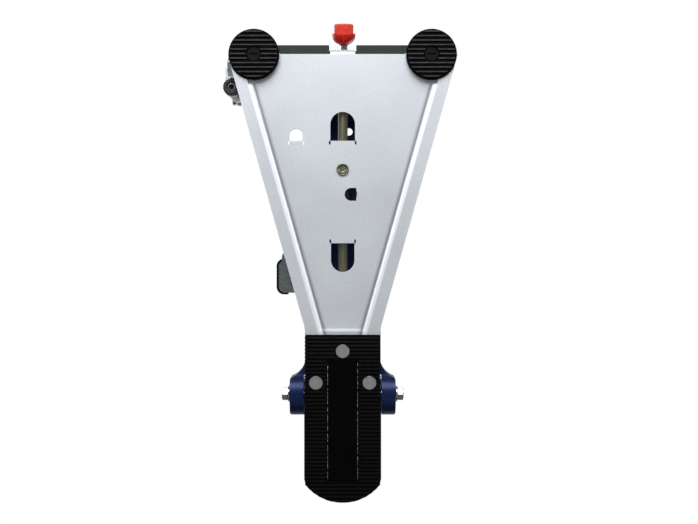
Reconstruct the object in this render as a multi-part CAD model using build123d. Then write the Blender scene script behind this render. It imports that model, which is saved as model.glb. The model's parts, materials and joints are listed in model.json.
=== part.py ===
"""Bass drum pedal with a long footboard, a direct drive link and a felt beater.

Frame: +Z up, +Y towards the drum, +X the player's right. The origin lies on the floor
under the heel hinge. The model stands in the pressed pose: footboard down, beater thrown
forward past the hoop. Millimetres throughout. Each piece is written as its own STEP file.
"""
from build123d import *
import math
import os

# ---------------------------------------------------------------- driving dimensions
SHEET = 2.5             # base plate steel
PANEL_Z = 8.5           # underside of the raised panel
RAIL_Z = 4.0            # underside of the edge rails and of the heel tongue
FRONT_Y = 275.0         # front edge of the base plate
FRONT_HALF = 92.9       # half width of the plate at its front edge
WAIST_Y = 57.6          # where the taper meets the heel tongue
WAIST_HALF = 31.4       # half width there
TONGUE_HALF = 30.0
STEP_Y = 53.4           # step from the panel down to the tongue
HEEL_CROWN = -85.6      # rear end of the sole, on the middle line
HEEL_END_R = 38.1       # radius of its round rear end
RAIL_WIDTH = 9.0        # flat edge rail
SHOULDER = 5.2          # rounded shoulder between rail and panel
SHOULDER_R = 4.3
RAIL_FRONT_Y = 268.0    # the rails end beside the front feet
SHOULDER_FRONT_Y = 250.0
WINDOW_A = (10.0, 205.0, 228.4)     # half width, bend, round end
WINDOW_B = (5.4, 205.0, 214.8)
WINDOW_C = (9.5, 122.4, 99.2)
WINDOW_D = (5.2, -11.0, -1.5)       # the same along X
WINDOW_B_X = 37.7
WINDOW_D_Y = 161.8
PANEL_RIVET_Y = 181.8
RIVETS = ((0, 35.7), (21.5, 10.4), (-21.5, 10.4))   # through the sole
RIVET_R = 2.5

FOOT_X = 71.4
FOOT_Y = 274.0
FOOT_R = 20.3
FOOT_RIDGE = 1.1        # ridges across the rubber feet
FOOT_PITCH = 3.6

BAR_HALF = 82.5         # cross bar across the front
BAR_Y0 = 240.0
BAR_Y1 = 282.6
BAR_Z0 = PANEL_Z + SHEET
BAR_Z1 = 23.0

AXLE_Y = 262.0          # beater axle
AXLE_Z = 102.0
AXLE_R = 5.0
POST_X0 = 58.0
POST_X1 = 72.0
BEARING_R = 11.0
POST_SCREW_X = 77.0
POST_SCREW_Y = (246.0, 256.0)
RUN = 0.05              # radial running clearance

HEEL_Z = 18.5           # heel hinge axle
HEEL_R = 4.0
EAR_R = 17.0            # footboard ears, seen from the side
EAR_IN = 31.5
EAR_OUT = 42.6

BOARD_HALF = 31.0       # footboard
BOARD_Y0 = 15.0
BOARD_Y1 = 250.0
BOARD_TOP0 = 33.2       # height of the top face at BOARD_Y0
BOARD_TILT = 4.0        # degrees, pressed
BOARD_T = 4.5
BOARD_HOLE = (-4.9, 215.9)
BOARD_HOLE_R = 3.3

TOE_Y = 262.0           # pivot between drive link and footboard
TOE_Z = 49.0
TOE_PIN_R = 2.5
TOE_GAP = 0.85          # clearance at the open pivot
TOE_SHIFT = (-0.60, 0.39)   # rest offset of the link eye inside that clearance
ARM_R = 22.0            # drive arm
ARM_ANGLE = -40.0
ARM_PIN_R = 3.0
LINK_HALF = 5.6

BEATER_LEAN = 15.0      # degrees forward of upright
BEATER_LEG = 146.9      # axle to the centre line of the beater head, along the shaft
BEATER_REACH = 22.5     # shaft line to the back of the beater cup
NECK_R = 12.0
BEATER_R = 3.5
CUP_R = 11.4
CUP_LEN = 11.4
FELT_R = 9.4
FELT_OUT = 9.2          # felt beyond the cup

SPRING_X = 91.3         # return spring on the player's right
ROCKER_R = 12.0
ROCKER_ANGLE = 158.0
SPRING_Y = AXLE_Y + ROCKER_R * math.cos(math.radians(ROCKER_ANGLE))
ROCKER_Z = AXLE_Z + ROCKER_R * math.sin(math.radians(ROCKER_ANGLE))
SHELF_Z0 = 33.0
SHELF_Z1 = 38.0
SPRING_Z0 = 51.0
SPRING_Z1 = 86.0

ROD_Z = 18.0            # hoop clamp rod along the middle of the plate
ROD_R = 4.0
ROD_Y0 = 80.0
ROD_Y1 = 239.0
LEVER_RISE = 12.0       # degrees
JAW_Y = 255.0
JAW_Z = 34.0
JAW_HALF = 18.0
JAW_PIN_R = 2.5


# ---------------------------------------------------------------- helpers
def slab(sketch, z0, z1):
    """Extrude a sketch drawn in X, Y between two heights."""
    return extrude(Pos(0, 0, z0) * sketch, z1 - z0)


def side(sketch, x0, x1):
    """Extrude a sketch drawn in Y, Z between two X planes."""
    return extrude(Plane.YZ.offset(x0) * sketch, x1 - x0)


def front(sketch, y0, y1):
    """Extrude a sketch drawn in X, Z between two Y planes."""
    plane = Plane(origin=(0, y1, 0), x_dir=(1, 0, 0), z_dir=(0, -1, 0))
    return extrude(plane * sketch, y1 - y0)


def block(x0, x1, y0, y1, z0, z1):
    """Box between two corners."""
    return Pos((x0 + x1) / 2, (y0 + y1) / 2, (z0 + z1) / 2) * Box(x1 - x0, y1 - y0, z1 - z0)


def bar(p0, p1, r):
    """Round bar between two points."""
    a = Vector(*p0)
    b = Vector(*p1)
    return extrude(Plane(origin=a, z_dir=b - a) * Circle(r), (b - a).length)


def shape(*points):
    """Closed polygon through the points, kept where they are."""
    return make_face(Polyline(*points, close=True))


def disc(y, z, r):
    """Circle in a side sketch."""
    return Pos(y, z) * Circle(r)


def polar(r, degrees):
    """Y and Z of a point at a radius and an angle from +Y."""
    return r * math.cos(math.radians(degrees)), r * math.sin(math.radians(degrees))


def mirrored(solid):
    """The same solid on the other side of the pedal."""
    return mirror(solid, about=Plane.YZ)


def hexagon(across_flats):
    """Hexagon with flats across the given distance."""
    return RegularPolygon(across_flats / 2, 6, major_radius=False)


def near(edges, **place):
    """Edges whose centre lies at the given coordinates, to a tenth of a millimetre."""
    return [e for e in edges
            if all(abs(getattr(e.center(), axis) - v) < 0.1 for axis, v in place.items())]


def save(name, *solids):
    """Write one node; several solids are a group of separate pieces."""
    pieces = [piece for solid in solids for piece in solid.solids()]
    export_step(Compound(children=pieces), f"parts/{name}.step")


# ---------------------------------------------------------------- base plate
def taper_half(y):
    """Half width of the plate at a distance along it."""
    return WAIST_HALF + (FRONT_HALF - WAIST_HALF) * (y - WAIST_Y) / (FRONT_Y - WAIST_Y)


def edge_strip(inset0, inset1, y0, y1):
    """Strip that follows the right slanted edge between two insets."""
    return shape((taper_half(y0) - inset0, y0), (taper_half(y1) - inset0, y1),
                 (taper_half(y1) - inset1, y1), (taper_half(y0) - inset1, y0))


def heel_outline(half, y_front, inset):
    """Plan of the heel: straight sides and one round rear end."""
    centre = HEEL_CROWN + HEEL_END_R
    sides = Pos(0, (y_front - 100) / 2) * Rectangle(2 * half, y_front + 100)
    round_end = Pos(0, centre) * Circle(HEEL_END_R - inset)
    round_end += Pos(0, (y_front + centre) / 2) * Rectangle(4 * half, y_front - centre)
    return sides & round_end


def lanced_tab(width, top, bore):
    """Tab cut from the panel and bent up: its outer face is at X = 0, facing +X."""
    bend = 4.8
    z = PANEL_Z
    inner = bend - SHEET
    profile = make_face([
        Line((-bend, z), (-bend, z + SHEET)),
        RadiusArc((-bend, z + SHEET), (-SHEET, z + bend), -inner),
        Line((-SHEET, z + bend), (-SHEET, top)),
        Line((-SHEET, top), (0, top)),
        Line((0, top), (0, z + bend)),
        RadiusArc((0, z + bend), (-bend, z), bend),
    ])
    tab = front(profile, -width / 2, width / 2)
    crown = Pos(0, top - width / 2) * Circle(width / 2)
    crown += Pos(0, (top - width / 2) / 2) * Rectangle(width, top - width / 2)
    tab &= side(crown, -bend - 1, 1)
    if bore:
        tab -= side(Pos(0, ROD_Z) * Circle(bore), -bend - 1, 1)
    return tab


def window(half, y_bend, y_round):
    """Lanced opening: square at its bend, round at its other end."""
    centre = y_round - math.copysign(half, y_round - y_bend)
    opening = Pos(0, (y_bend + centre) / 2) * Rectangle(2 * half, abs(centre - y_bend))
    return opening + Pos(0, centre) * Circle(half)


def lobe(s):
    """Round corner of the panel above a front foot, with a small fillet to the front edge."""
    fillet_x = FOOT_X - FOOT_R + 1.5
    corner = Pos(s * fillet_x, FRONT_Y + 1.0) * Circle(2.2) - Pos(s * (fillet_x - 4), FRONT_Y + 4) * Circle(4)
    return [Pos(s * FOOT_X, FOOT_Y) * Circle(FOOT_R - 1), corner]


def edge_rail():
    """Flat rail and rounded shoulder along the plate's right edge, stopped short of the foot."""
    top = PANEL_Z + SHEET
    rail = slab(edge_strip(0, RAIL_WIDTH, WAIST_Y - 8, RAIL_FRONT_Y), RAIL_Z, RAIL_Z + SHEET)
    shoulder = slab(edge_strip(RAIL_WIDTH - SHEET, RAIL_WIDTH + SHOULDER, WAIST_Y - 8, SHOULDER_FRONT_Y),
                    RAIL_Z, top)
    inner = [e for e in shoulder.edges().filter_by(Plane.XY)
             if abs(e.center().Z - RAIL_Z) < 0.1 and e.length > 100]
    shoulder = fillet(sorted(inner, key=lambda e: e.center().X)[:1], SHOULDER_R)
    end_wall = slab(edge_strip(0, RAIL_WIDTH + 1, SHOULDER_FRONT_Y - 6, RAIL_FRONT_Y), RAIL_Z, top)
    return rail + shoulder + end_wall - bar((FOOT_X, FOOT_Y, 0), (FOOT_X, FOOT_Y, PANEL_Z), FOOT_R + 0.4)


def relief(x, half, y, toward):
    """Two small cuts beside a tab's bend."""
    y0, y1 = sorted((y, y + toward * 3))
    return [block(cut - 0.7, cut + 0.7, y0, y1, PANEL_Z - 0.5, PANEL_Z + SHEET + 1)
            for cut in (x - half - 0.5, x + half + 0.5)]


def base_plate():
    """Pressed steel plate: raised panel, edge rails, heel tongue, lanced windows and tabs."""
    below = PANEL_Z - 1
    above = PANEL_Z + SHEET + 1
    outline = shape((-WAIST_HALF, WAIST_Y), (-FRONT_HALF, FRONT_Y), (FRONT_HALF, FRONT_Y),
                    (WAIST_HALF, WAIST_Y), (TONGUE_HALF, WAIST_Y - 8), (-TONGUE_HALF, WAIST_Y - 8))
    edge = edge_rail()
    plate = slab(outline + lobe(1) + lobe(-1), PANEL_Z, PANEL_Z + SHEET) + edge + mirrored(edge)

    tongue = slab(heel_outline(TONGUE_HALF, WAIST_Y - 6, 0.6), RAIL_Z, RAIL_Z + SHEET)
    step = block(-TONGUE_HALF, TONGUE_HALF, STEP_Y - 4.6, STEP_Y, RAIL_Z, PANEL_Z + SHEET)
    step = chamfer(near(step.edges(), Y=STEP_Y, Z=RAIL_Z), 4.2)
    plate += tongue + step
    # the raised panel stands clear above its edge rails
    groove = slab(edge_strip(-1, RAIL_WIDTH - SHEET, WAIST_Y + 2, SHOULDER_FRONT_Y - 7),
                  RAIL_Z + SHEET, above)
    plate -= [groove, mirrored(groove)]

    plate -= [slab(window(*WINDOW_A), below, above), slab(window(*WINDOW_C), below, above)]
    plate -= Pos(WINDOW_B_X, 0) * slab(window(*WINDOW_B), below, above)
    plate -= slab(Pos(0, WINDOW_D_Y) * Rot(0, 0, -90) * window(*WINDOW_D), below, above)

    plate += Pos(0, WINDOW_A[1], 0) * Rot(0, 0, 90) * lanced_tab(18, 27, ROD_R + RUN)
    plate += Pos(0, WINDOW_C[1], 0) * Rot(0, 0, -90) * lanced_tab(17, 26.5, ROD_R + RUN)
    plate += Pos(WINDOW_B_X, WINDOW_B[1], 0) * Rot(0, 0, 90) * lanced_tab(10, 21, 0)
    plate += Pos(WINDOW_D[1], WINDOW_D_Y, 0) * lanced_tab(9.6, 21.5, 0)
    plate += Pos(0, FRONT_Y + 4, 0) * Rot(0, 0, 90) * lanced_tab(20, 19, 0)
    plate -= relief(0, WINDOW_A[0], WINDOW_A[1], -1) + relief(0, WINDOW_C[0], WINDOW_C[1], 1)
    plate -= relief(WINDOW_B_X, WINDOW_B[0], WINDOW_B[1], -1)

    plate -= [bar((s * FOOT_X, FOOT_Y, 5), (s * FOOT_X, FOOT_Y, 15), 3) for s in (-1, 1)]
    plate -= bar((0, PANEL_RIVET_Y, 5), (0, PANEL_RIVET_Y, 15), RIVET_R)
    plate -= [bar((x, y, 0), (x, y, 8), RIVET_R) for x, y in RIVETS]
    return plate


def heel_sole():
    """Rubber sole with cross ribs, bonded and riveted under the heel tongue."""
    sole = slab(heel_outline(TONGUE_HALF, 48.8, 0), 0.8, RAIL_Z)
    pitch = 3.1
    ribs = [block(-TONGUE_HALF - 1, TONGUE_HALF + 1, 47.2 - pitch * i - 1.55, 47.2 - pitch * i, 0, 2.5)
            for i in range(43)]
    sole += Part() + ribs & slab(heel_outline(TONGUE_HALF + 0.4, 48.8, 0), 0, 2.5)
    sole -= block(-13, 13, -68.6, 28.4, -1, 2.4)
    sole -= [bar((x, y, -1), (x, y, 5), RIVET_R) for x, y in RIVETS]
    sole -= [bar((x, y, -1), (x, y, 2.4), 6) for x, y in RIVETS]
    return sole


def grip_strip():
    """Hook-and-loop strip that the pedal rests on behind the hinge."""
    strip = block(-12.2, 12.2, -67.8, 27.6, 0, 2.4)
    return fillet(strip.edges().filter_by(Axis.Z), 1.5)


def panel_eyelet():
    """Brass eyelet with a dished face and a small centre boss."""
    z = PANEL_Z
    dish = make_face(Polyline((0, z + 4), (2.5, z + 4), (2.5, z), (5, z), (5, z - 1.4), (4.2, z - 1.6),
                              (2.2, z + 0.4), (0.8, z + 0.6), (0.5, z - 0.2), (0, z - 0.2), close=True))
    return Pos(0, PANEL_RIVET_Y, 0) * revolve(Plane.XZ * dish, Axis.Z)


def rivet(x, y, z0, z1, r, head_r, head_z0, head_z1):
    """Upright rivet with a flat head."""
    return bar((x, y, z0), (x, y, z1), r) + bar((x, y, head_z0), (x, y, head_z1), head_r)


def front_foot(s):
    """Rubber disc with cross grooves and a central recess for its screw."""
    x = s * FOOT_X
    foot = bar((x, FOOT_Y, 0), (x, FOOT_Y, PANEL_Z), FOOT_R)
    foot = fillet(foot.edges().group_by(Axis.Z)[0], 1.2)
    half_gap = (FOOT_PITCH - FOOT_RIDGE) / 2
    for i in range(-6, 6):
        y = FOOT_Y + FOOT_PITCH * (i + 0.5)
        foot -= block(x - 25, x + 25, y - half_gap, y + half_gap, -1, 1.3)
    foot -= bar((x, FOOT_Y, -1), (x, FOOT_Y, 5), 6)
    return foot - bar((x, FOOT_Y, -1), (x, FOOT_Y, 12), 3)


def foot_screw(s):
    """Round-headed screw through foot and plate into the cross bar."""
    x = s * FOOT_X
    screw = bar((x, FOOT_Y, 2), (x, FOOT_Y, 22), 3) + bar((x, FOOT_Y, 2), (x, FOOT_Y, 5), 5.5)
    return screw - block(x - 3.5, x + 3.5, FOOT_Y - 0.6, FOOT_Y + 0.6, 1, 3.2)


# ---------------------------------------------------------------- cross bar, posts, clamp seat
def hoop_cross_bar():
    beam = block(-BAR_HALF, BAR_HALF, BAR_Y0, BAR_Y1, BAR_Z0, BAR_Z1)
    beam = fillet(beam.edges().filter_by(Axis.Z), 3)
    beam -= block(-11, 11, 273.5, 290, 0, BAR_Z1 + 1)
    lug = disc(JAW_Y, JAW_Z, 6.5) + shape((JAW_Y - 9, BAR_Z1 - 1), (JAW_Y + 7, BAR_Z1 - 1),
                                          (JAW_Y + 6.5, JAW_Z), (JAW_Y - 6.5, JAW_Z))
    lug -= disc(JAW_Y, JAW_Z, JAW_PIN_R)
    beam += [side(lug, 18.6, 23.6), side(lug, -23.6, -18.6)]
    for s in (-1, 1):
        beam -= bar((s * FOOT_X, FOOT_Y, 5), (s * FOOT_X, FOOT_Y, 22), 3)
        beam -= [bar((s * POST_SCREW_X, y, 13), (s * POST_SCREW_X, y, 30), 2.5) for y in POST_SCREW_Y]
    return beam - bar((60, 266, 18.5), (90, 266, 18.5), 3)


def hoop_pad():
    pad = block(-46, 46, 262.5, BAR_Y1 - 0.6, BAR_Z1, BAR_Z1 + 2) - block(-11, 11, 273.5, 290, 20, 30)
    return pad


def post(s):
    """Cast post with a foot flange, a slot through its web and a bearing boss."""
    flange = block(54, 82, 241, 279, BAR_Z1, BAR_Z1 + 5)
    flange = fillet(flange.edges().filter_by(Axis.Z), 3)
    web = shape((243, 27), (278, 27), (AXLE_Y + 15.5, AXLE_Z - 4), (AXLE_Y - 15.5, AXLE_Z - 4))
    blade = side(web + disc(AXLE_Y, AXLE_Z, 16), POST_X0, POST_X1)
    slot = Pos(AXLE_Y - 0.5, 57) * Rot(0, 0, 90) * SlotOverall(44, 11)
    blade -= side(slot, POST_X0 - 1, POST_X1 + 1)
    tower = flange + blade
    tower -= side(disc(AXLE_Y, AXLE_Z, BEARING_R), POST_X0 - 1, POST_X1 + 1)
    tower -= [bar((POST_SCREW_X, y, 20), (POST_SCREW_X, y, 30), 2.5) for y in POST_SCREW_Y]
    return tower if s > 0 else mirrored(tower)


def post_screw(x, y):
    """Cap screw that holds a post's flange to the cross bar."""
    z = BAR_Z1 + 5
    screw = bar((x, y, 14), (x, y, z + 5), 2.5) + bar((x, y, z), (x, y, z + 5), 4.2)
    return screw - slab(Pos(x, y) * hexagon(4), z + 2.5, z + 6)


def bearing(s):
    """Ball bearing, closed by its shields."""
    ring = disc(AXLE_Y, AXLE_Z, BEARING_R) - disc(AXLE_Y, AXLE_Z, AXLE_R + RUN)
    race = side(ring, 60, 70)
    groove = disc(AXLE_Y, AXLE_Z, 9) - disc(AXLE_Y, AXLE_Z, 6.8)
    race -= [side(groove, 69.4, 71), side(groove, 59, 60.6)]
    return race if s > 0 else mirrored(race)


def spring_bracket():
    wall = block(BAR_HALF, BAR_HALF + 4, 259.5, 273, 12, SHELF_Z1)
    shelf = block(BAR_HALF, BAR_HALF + 5, 239, 273, SHELF_Z0, SHELF_Z1)
    shelf += block(BAR_HALF, 97, SPRING_Y, 268, SHELF_Z0, SHELF_Z1)
    shelf += bar((SPRING_X, SPRING_Y, SHELF_Z0), (SPRING_X, SPRING_Y, SHELF_Z1), 7)
    gusset = front(shape((86, 25.5), (86, 33.5), (94, 33.5)), 259.5, 263)
    bracket = wall + shelf + gusset
    bracket -= bar((80, 266, 18.5), (90, 266, 18.5), 3)
    return bracket - bar((SPRING_X, SPRING_Y, 30), (SPRING_X, SPRING_Y, 40), 3)


def bracket_bolt():
    """Hex bolt into the end of the cross bar."""
    x = BAR_HALF + 4
    head = side(Pos(266, 18.5) * hexagon(13), x, x + 7)
    return head + bar((62, 266, 18.5), (x + 1, 266, 18.5), 3)


def spring_eye_bolt():
    """Threaded rod with an eye above the shelf for the spring's lower hook."""
    shank = bar((SPRING_X, SPRING_Y, 24.5), (SPRING_X, SPRING_Y, 41), 3)
    eye = side(disc(SPRING_Y, 44, 4.6) - disc(SPRING_Y, 44, 2.2), SPRING_X - 1.6, SPRING_X + 1.6)
    return shank + eye


def return_spring():
    """Close-wound extension spring, stretched in the pressed pose, with a hook at each end."""
    radius = 5.0
    wire = 0.85
    turns = 13
    rise = SPRING_Z1 - SPRING_Z0
    coil = Helix(rise / turns, rise, radius)
    start = coil @ 0
    body = sweep(Plane(origin=start, z_dir=coil % 0) * Circle(wire), coil, is_frenet=True)
    coils = Pos(SPRING_X, SPRING_Y, SPRING_Z0) * body
    x = SPRING_X + radius
    hooks = []
    for z_coil, z_pin in ((SPRING_Z0, 44.2), (SPRING_Z1, 92.6)):
        s = 1 if z_pin > z_coil else -1
        points = [(x, SPRING_Y, z_coil + s * (wire + 0.02)), (x, SPRING_Y, z_pin),
                  (SPRING_X - radius, SPRING_Y, z_pin),
                  (SPRING_X - radius, SPRING_Y, z_pin - s * 3.0)]
        path = FilletPolyline(*points, radius=2.2)
        face = Plane(origin=path @ 0, z_dir=path % 0) * Circle(wire)
        hooks.append(sweep(face, path))
    return coils, *hooks


def spring_knob():
    """Knurled adjuster knob that turns on the eye bolt under the shelf."""
    grip = bar((SPRING_X, SPRING_Y, 24), (SPRING_X, SPRING_Y, 29.6), 7.2)
    flutes = [bar((SPRING_X + 7.9 * math.cos(a), SPRING_Y + 7.9 * math.sin(a), 23),
                  (SPRING_X + 7.9 * math.cos(a), SPRING_Y + 7.9 * math.sin(a), 30), 1.0)
              for a in (2 * math.pi * i / 18 for i in range(18))]
    return grip - flutes - bar((SPRING_X, SPRING_Y, 20), (SPRING_X, SPRING_Y, 33), 3 + RUN)


def knob_nut():
    """Locking nut between the knob and the shelf."""
    nut = slab(Pos(SPRING_X, SPRING_Y) * hexagon(10), 29.6, 32.7)
    return nut - bar((SPRING_X, SPRING_Y, 20), (SPRING_X, SPRING_Y, 34), 3 + RUN)


# ---------------------------------------------------------------- heel hinge and footboard
def heel_block():
    """Fixed heel plate with the hinge barrel at its front."""
    z0 = RAIL_Z + SHEET
    profile = shape((0, z0), (-84, z0), (-84, 11), (-62, 24), (-9, 30.6), (0, 31))
    profile += disc(0, HEEL_Z, 12.5)
    profile &= Pos(-30, 30 + z0) * Rectangle(140, 60)
    profile -= disc(0, HEEL_Z, HEEL_R)
    heel = side(profile, -TONGUE_HALF - 1, TONGUE_HALF + 1)
    pocket = side(shape((-15, z0 - 1), (-76, z0 - 1), (-62, 19), (-15, 25)), -26, 26)
    heel -= pocket
    heel = fillet(near(heel.edges(), X=0, Y=-62), 20)
    heel &= slab(heel_outline(TONGUE_HALF + 1, 20, 1.0), z0 - 1, 40)
    heel -= [bar((x, y, 0), (x, y, 9), 5.5) for x, y in RIVETS]
    return heel


def heel_axle():
    """Through axle with threaded ends."""
    axle = bar((-EAR_OUT - 0.6, 0, HEEL_Z), (EAR_OUT + 0.6, 0, HEEL_Z), HEEL_R)
    return axle + bar((-47.4, 0, HEEL_Z), (47.4, 0, HEEL_Z), 2.6)


def acorn_nut(s):
    """Domed nut on an end of the heel axle."""
    x0 = EAR_OUT + 1.8
    hexed = side(Pos(0, HEEL_Z) * hexagon(10), x0, x0 + 3.2)
    dome = bar((x0, 0, HEEL_Z), (x0 + 1.4, 0, HEEL_Z), 4.4)
    cap = Sphere(4.4, arc_size1=0, align=(Align.CENTER, Align.CENTER, Align.MIN))
    dome += Pos(x0 + 1.2, 0, HEEL_Z) * Rot(0, 90, 0) * cap
    nut = hexed + dome - bar((x0 - 1, 0, HEEL_Z), (47.4, 0, HEEL_Z), 2.6)
    return nut if s > 0 else mirrored(nut)


def heel_washer(s):
    ring = side(disc(0, HEEL_Z, 6.5) - disc(0, HEEL_Z, 2.6), EAR_OUT + 0.6, EAR_OUT + 1.8)
    return ring if s > 0 else mirrored(ring)


def heel_bush(s):
    """Bronze bush pressed into an ear of the footboard."""
    ring = side(disc(0, HEEL_Z, 6) - disc(0, HEEL_Z, HEEL_R + RUN), EAR_IN + 0.4, EAR_OUT)
    return ring if s > 0 else mirrored(ring)


def board_top(y):
    """Height of the footboard's top face, pressed."""
    return BOARD_TOP0 + (y - BOARD_Y0) * math.tan(math.radians(BOARD_TILT))


def board_band(y0, y1, depth0, depth1):
    """Side sketch between two depths under the top face."""
    return shape((y0, board_top(y0) - depth0), (y1, board_top(y1) - depth0),
                 (y1, board_top(y1) - depth1), (y0, board_top(y0) - depth1))


def footboard():
    """Cast long footboard with side skirts, underside ribs and a hinge ear each side."""
    deck = side(board_band(BOARD_Y0, BOARD_Y1, 0, BOARD_T), -BOARD_HALF, BOARD_HALF)
    deck = fillet([e for e in deck.edges().filter_by(Axis.Z, tolerance=5)
                   if e.center().Y > BOARD_Y1 - 1], 4)
    skirt = board_band(24, 226, BOARD_T - 1, 9)
    for x in (-BOARD_HALF, -12.4, 9.4, BOARD_HALF - 3):
        deck += side(skirt, x, x + 3)
    for y in range(60, 230, 33):
        deck += side(board_band(y, y + 3, BOARD_T - 1, 7.5), -BOARD_HALF, BOARD_HALF)
    # pressed-through grip slots along the deck
    for y in range(44, 232, 12):
        for x in (-19, 19):
            slot = Pos(x, y) * SlotOverall(13, 3)
            deck -= slab(slot, board_top(y) - 1.2, board_top(y) + 3)
    ear_side = disc(0, HEEL_Z, EAR_R)
    ear_side += shape((0, HEEL_Z + EAR_R), (BOARD_Y0, board_top(BOARD_Y0)), (27, board_top(27)),
                      (27, board_top(27) - 9), (11, 8.4))
    rear = -EAR_R - 0.4
    plan = make_face([
        Line((EAR_IN, rear), (EAR_OUT - 3, rear)),
        ThreePointArc((EAR_OUT - 3, rear), (EAR_OUT - 0.9, rear + 0.9), (EAR_OUT, rear + 3)),
        Line((EAR_OUT, rear + 3), (EAR_OUT, 12)),
        ThreePointArc((EAR_OUT, 12), (EAR_OUT - 0.4, 13.2), (EAR_OUT - 1.4, 14)),
        ThreePointArc((EAR_OUT - 1.4, 14), (34.6, 18.6), (30.6, 27.5)),
        Line((30.6, 27.5), (24, 27.5)),
        Line((24, 27.5), (24, BOARD_Y0 + 1)),
        Line((24, BOARD_Y0 + 1), (EAR_IN, BOARD_Y0 + 1)),
        Line((EAR_IN, BOARD_Y0 + 1), (EAR_IN, rear)),
    ])
    ear = side(ear_side, 20, 50) & slab(plan, 0, 50)
    ear -= side(disc(0, HEEL_Z, 6), 20, 50)
    # clear the barrel of the fixed heel
    ear -= side(disc(0, HEEL_Z, 13.4), 20, EAR_IN)
    board = deck + ear + mirrored(ear)
    for x in (-10, 10):
        for y in (236, 244):
            board -= bar((x, y, 30), (x, y, 60), 1.8)
    # round hole through the deck beside the middle rib
    return board - bar((BOARD_HOLE[0], BOARD_HOLE[1], 30), (BOARD_HOLE[0], BOARD_HOLE[1], 60), BOARD_HOLE_R)


def toe_clevis():
    """Bracket screwed on the board's front end, carrying the toe pin."""
    z0 = board_top(232)
    base = board_band(231, 254, -3.5, 0)
    plate = side(base, -14, 14)
    cheek = disc(TOE_Y, TOE_Z, 6.5) + shape((240, z0 + 2.5), (256, z0 + 13), (TOE_Y + 2, TOE_Z + 6),
                                            (TOE_Y, TOE_Z - 6.2), (252, board_top(252) + 0.4),
                                            (240, board_top(240) + 0.4))
    cheek -= disc(TOE_Y, TOE_Z, TOE_PIN_R)
    plate -= block(-6.2, 6.2, 250.5, 270, 40, 60)
    clevis = plate + [side(cheek, 6.2, 10.2), side(cheek, -10.2, -6.2)]
    for x in (-10, 10):
        for y in (236, 244):
            clevis -= bar((x, y, 30), (x, y, 60), 1.8)
            clevis -= bar((x, y, board_top(y) + 2.2), (x, y, 70), 3.4)
    return clevis


def clevis_screw(x, y):
    z = board_top(y) + 2.2
    screw = bar((x, y, z - 7), (x, y, z + 0.4), 1.8) + bar((x, y, z), (x, y, z + 2), 3.2)
    return screw - slab(Pos(x, y) * hexagon(2), z + 1, z + 3)


def toe_pin():
    pin = bar((-10.2, TOE_Y, TOE_Z), (10.2, TOE_Y, TOE_Z), TOE_PIN_R)
    heads = [bar((x, TOE_Y, TOE_Z), (x + math.copysign(1.6, x), TOE_Y, TOE_Z), 4) for x in (-10.2, 10.2)]
    return pin + heads


# ---------------------------------------------------------------- axle, drive and beater
def along_shaft(s, t=0.0):
    """Y and Z at a distance up the beater shaft and out along the beater head."""
    lean = math.radians(BEATER_LEAN)
    return (AXLE_Y + s * math.sin(lean) + t * math.cos(lean),
            AXLE_Z + s * math.cos(lean) - t * math.sin(lean))


ARM_Y = AXLE_Y + polar(ARM_R, ARM_ANGLE)[0]
ARM_Z = AXLE_Z + polar(ARM_R, ARM_ANGLE)[1]


def axle_shaft():
    shaft = bar((-80, AXLE_Y, AXLE_Z), (88.5, AXLE_Y, AXLE_Z), AXLE_R)
    return chamfer(shaft.edges().filter_by(GeomType.CIRCLE), 0.8)


def axle_collar():
    """Stop collar on the axle's left end."""
    ring = side(disc(AXLE_Y, AXLE_Z, 9.5) - disc(AXLE_Y, AXLE_Z, AXLE_R), -79.5, -72.6)
    return chamfer(ring.edges().filter_by(GeomType.CIRCLE), 0.7)


def drive_hub():
    """Hub with the drive arm in front and the beater's socket above."""
    barrel = side(disc(AXLE_Y, AXLE_Z, 10), -17, 17)
    cheek = disc(ARM_Y, ARM_Z, 6.2) + disc(AXLE_Y, AXLE_Z, 10)
    dy, dz = polar(1, ARM_ANGLE)
    for r, half in ((0, 9.4), (ARM_R, 6)):
        cheek += Pos(AXLE_Y + dy * r, AXLE_Z + dz * r) * Circle(half)
    cheek += shape((AXLE_Y - dz * 9.4, AXLE_Z + dy * 9.4), (ARM_Y - dz * 6, ARM_Z + dy * 6),
                   (ARM_Y + dz * 6, ARM_Z - dy * 6), (AXLE_Y + dz * 9.4, AXLE_Z - dy * 9.4))
    cheek -= disc(ARM_Y, ARM_Z, ARM_PIN_R)
    hub = barrel + side(cheek, 6.2, 11) + side(cheek, -11, -6.2)
    socket = bar((0, *along_shaft(2)), (0, *along_shaft(40)), 8)
    socket = chamfer(socket.edges().group_by(Axis.Z)[-1], 1.2)
    hub += socket
    hub -= side(disc(AXLE_Y, AXLE_Z, AXLE_R), -20, 20)
    hub -= bar((0, *along_shaft(13.5)), (0, *along_shaft(45)), BEATER_R + RUN)
    hub -= bar((0, *along_shaft(30, -20)), (0, *along_shaft(30)), 2.5)
    return hub - bar((-13.5, AXLE_Y, AXLE_Z + 4), (-13.5, AXLE_Y, AXLE_Z + 20), 2.0)


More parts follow.
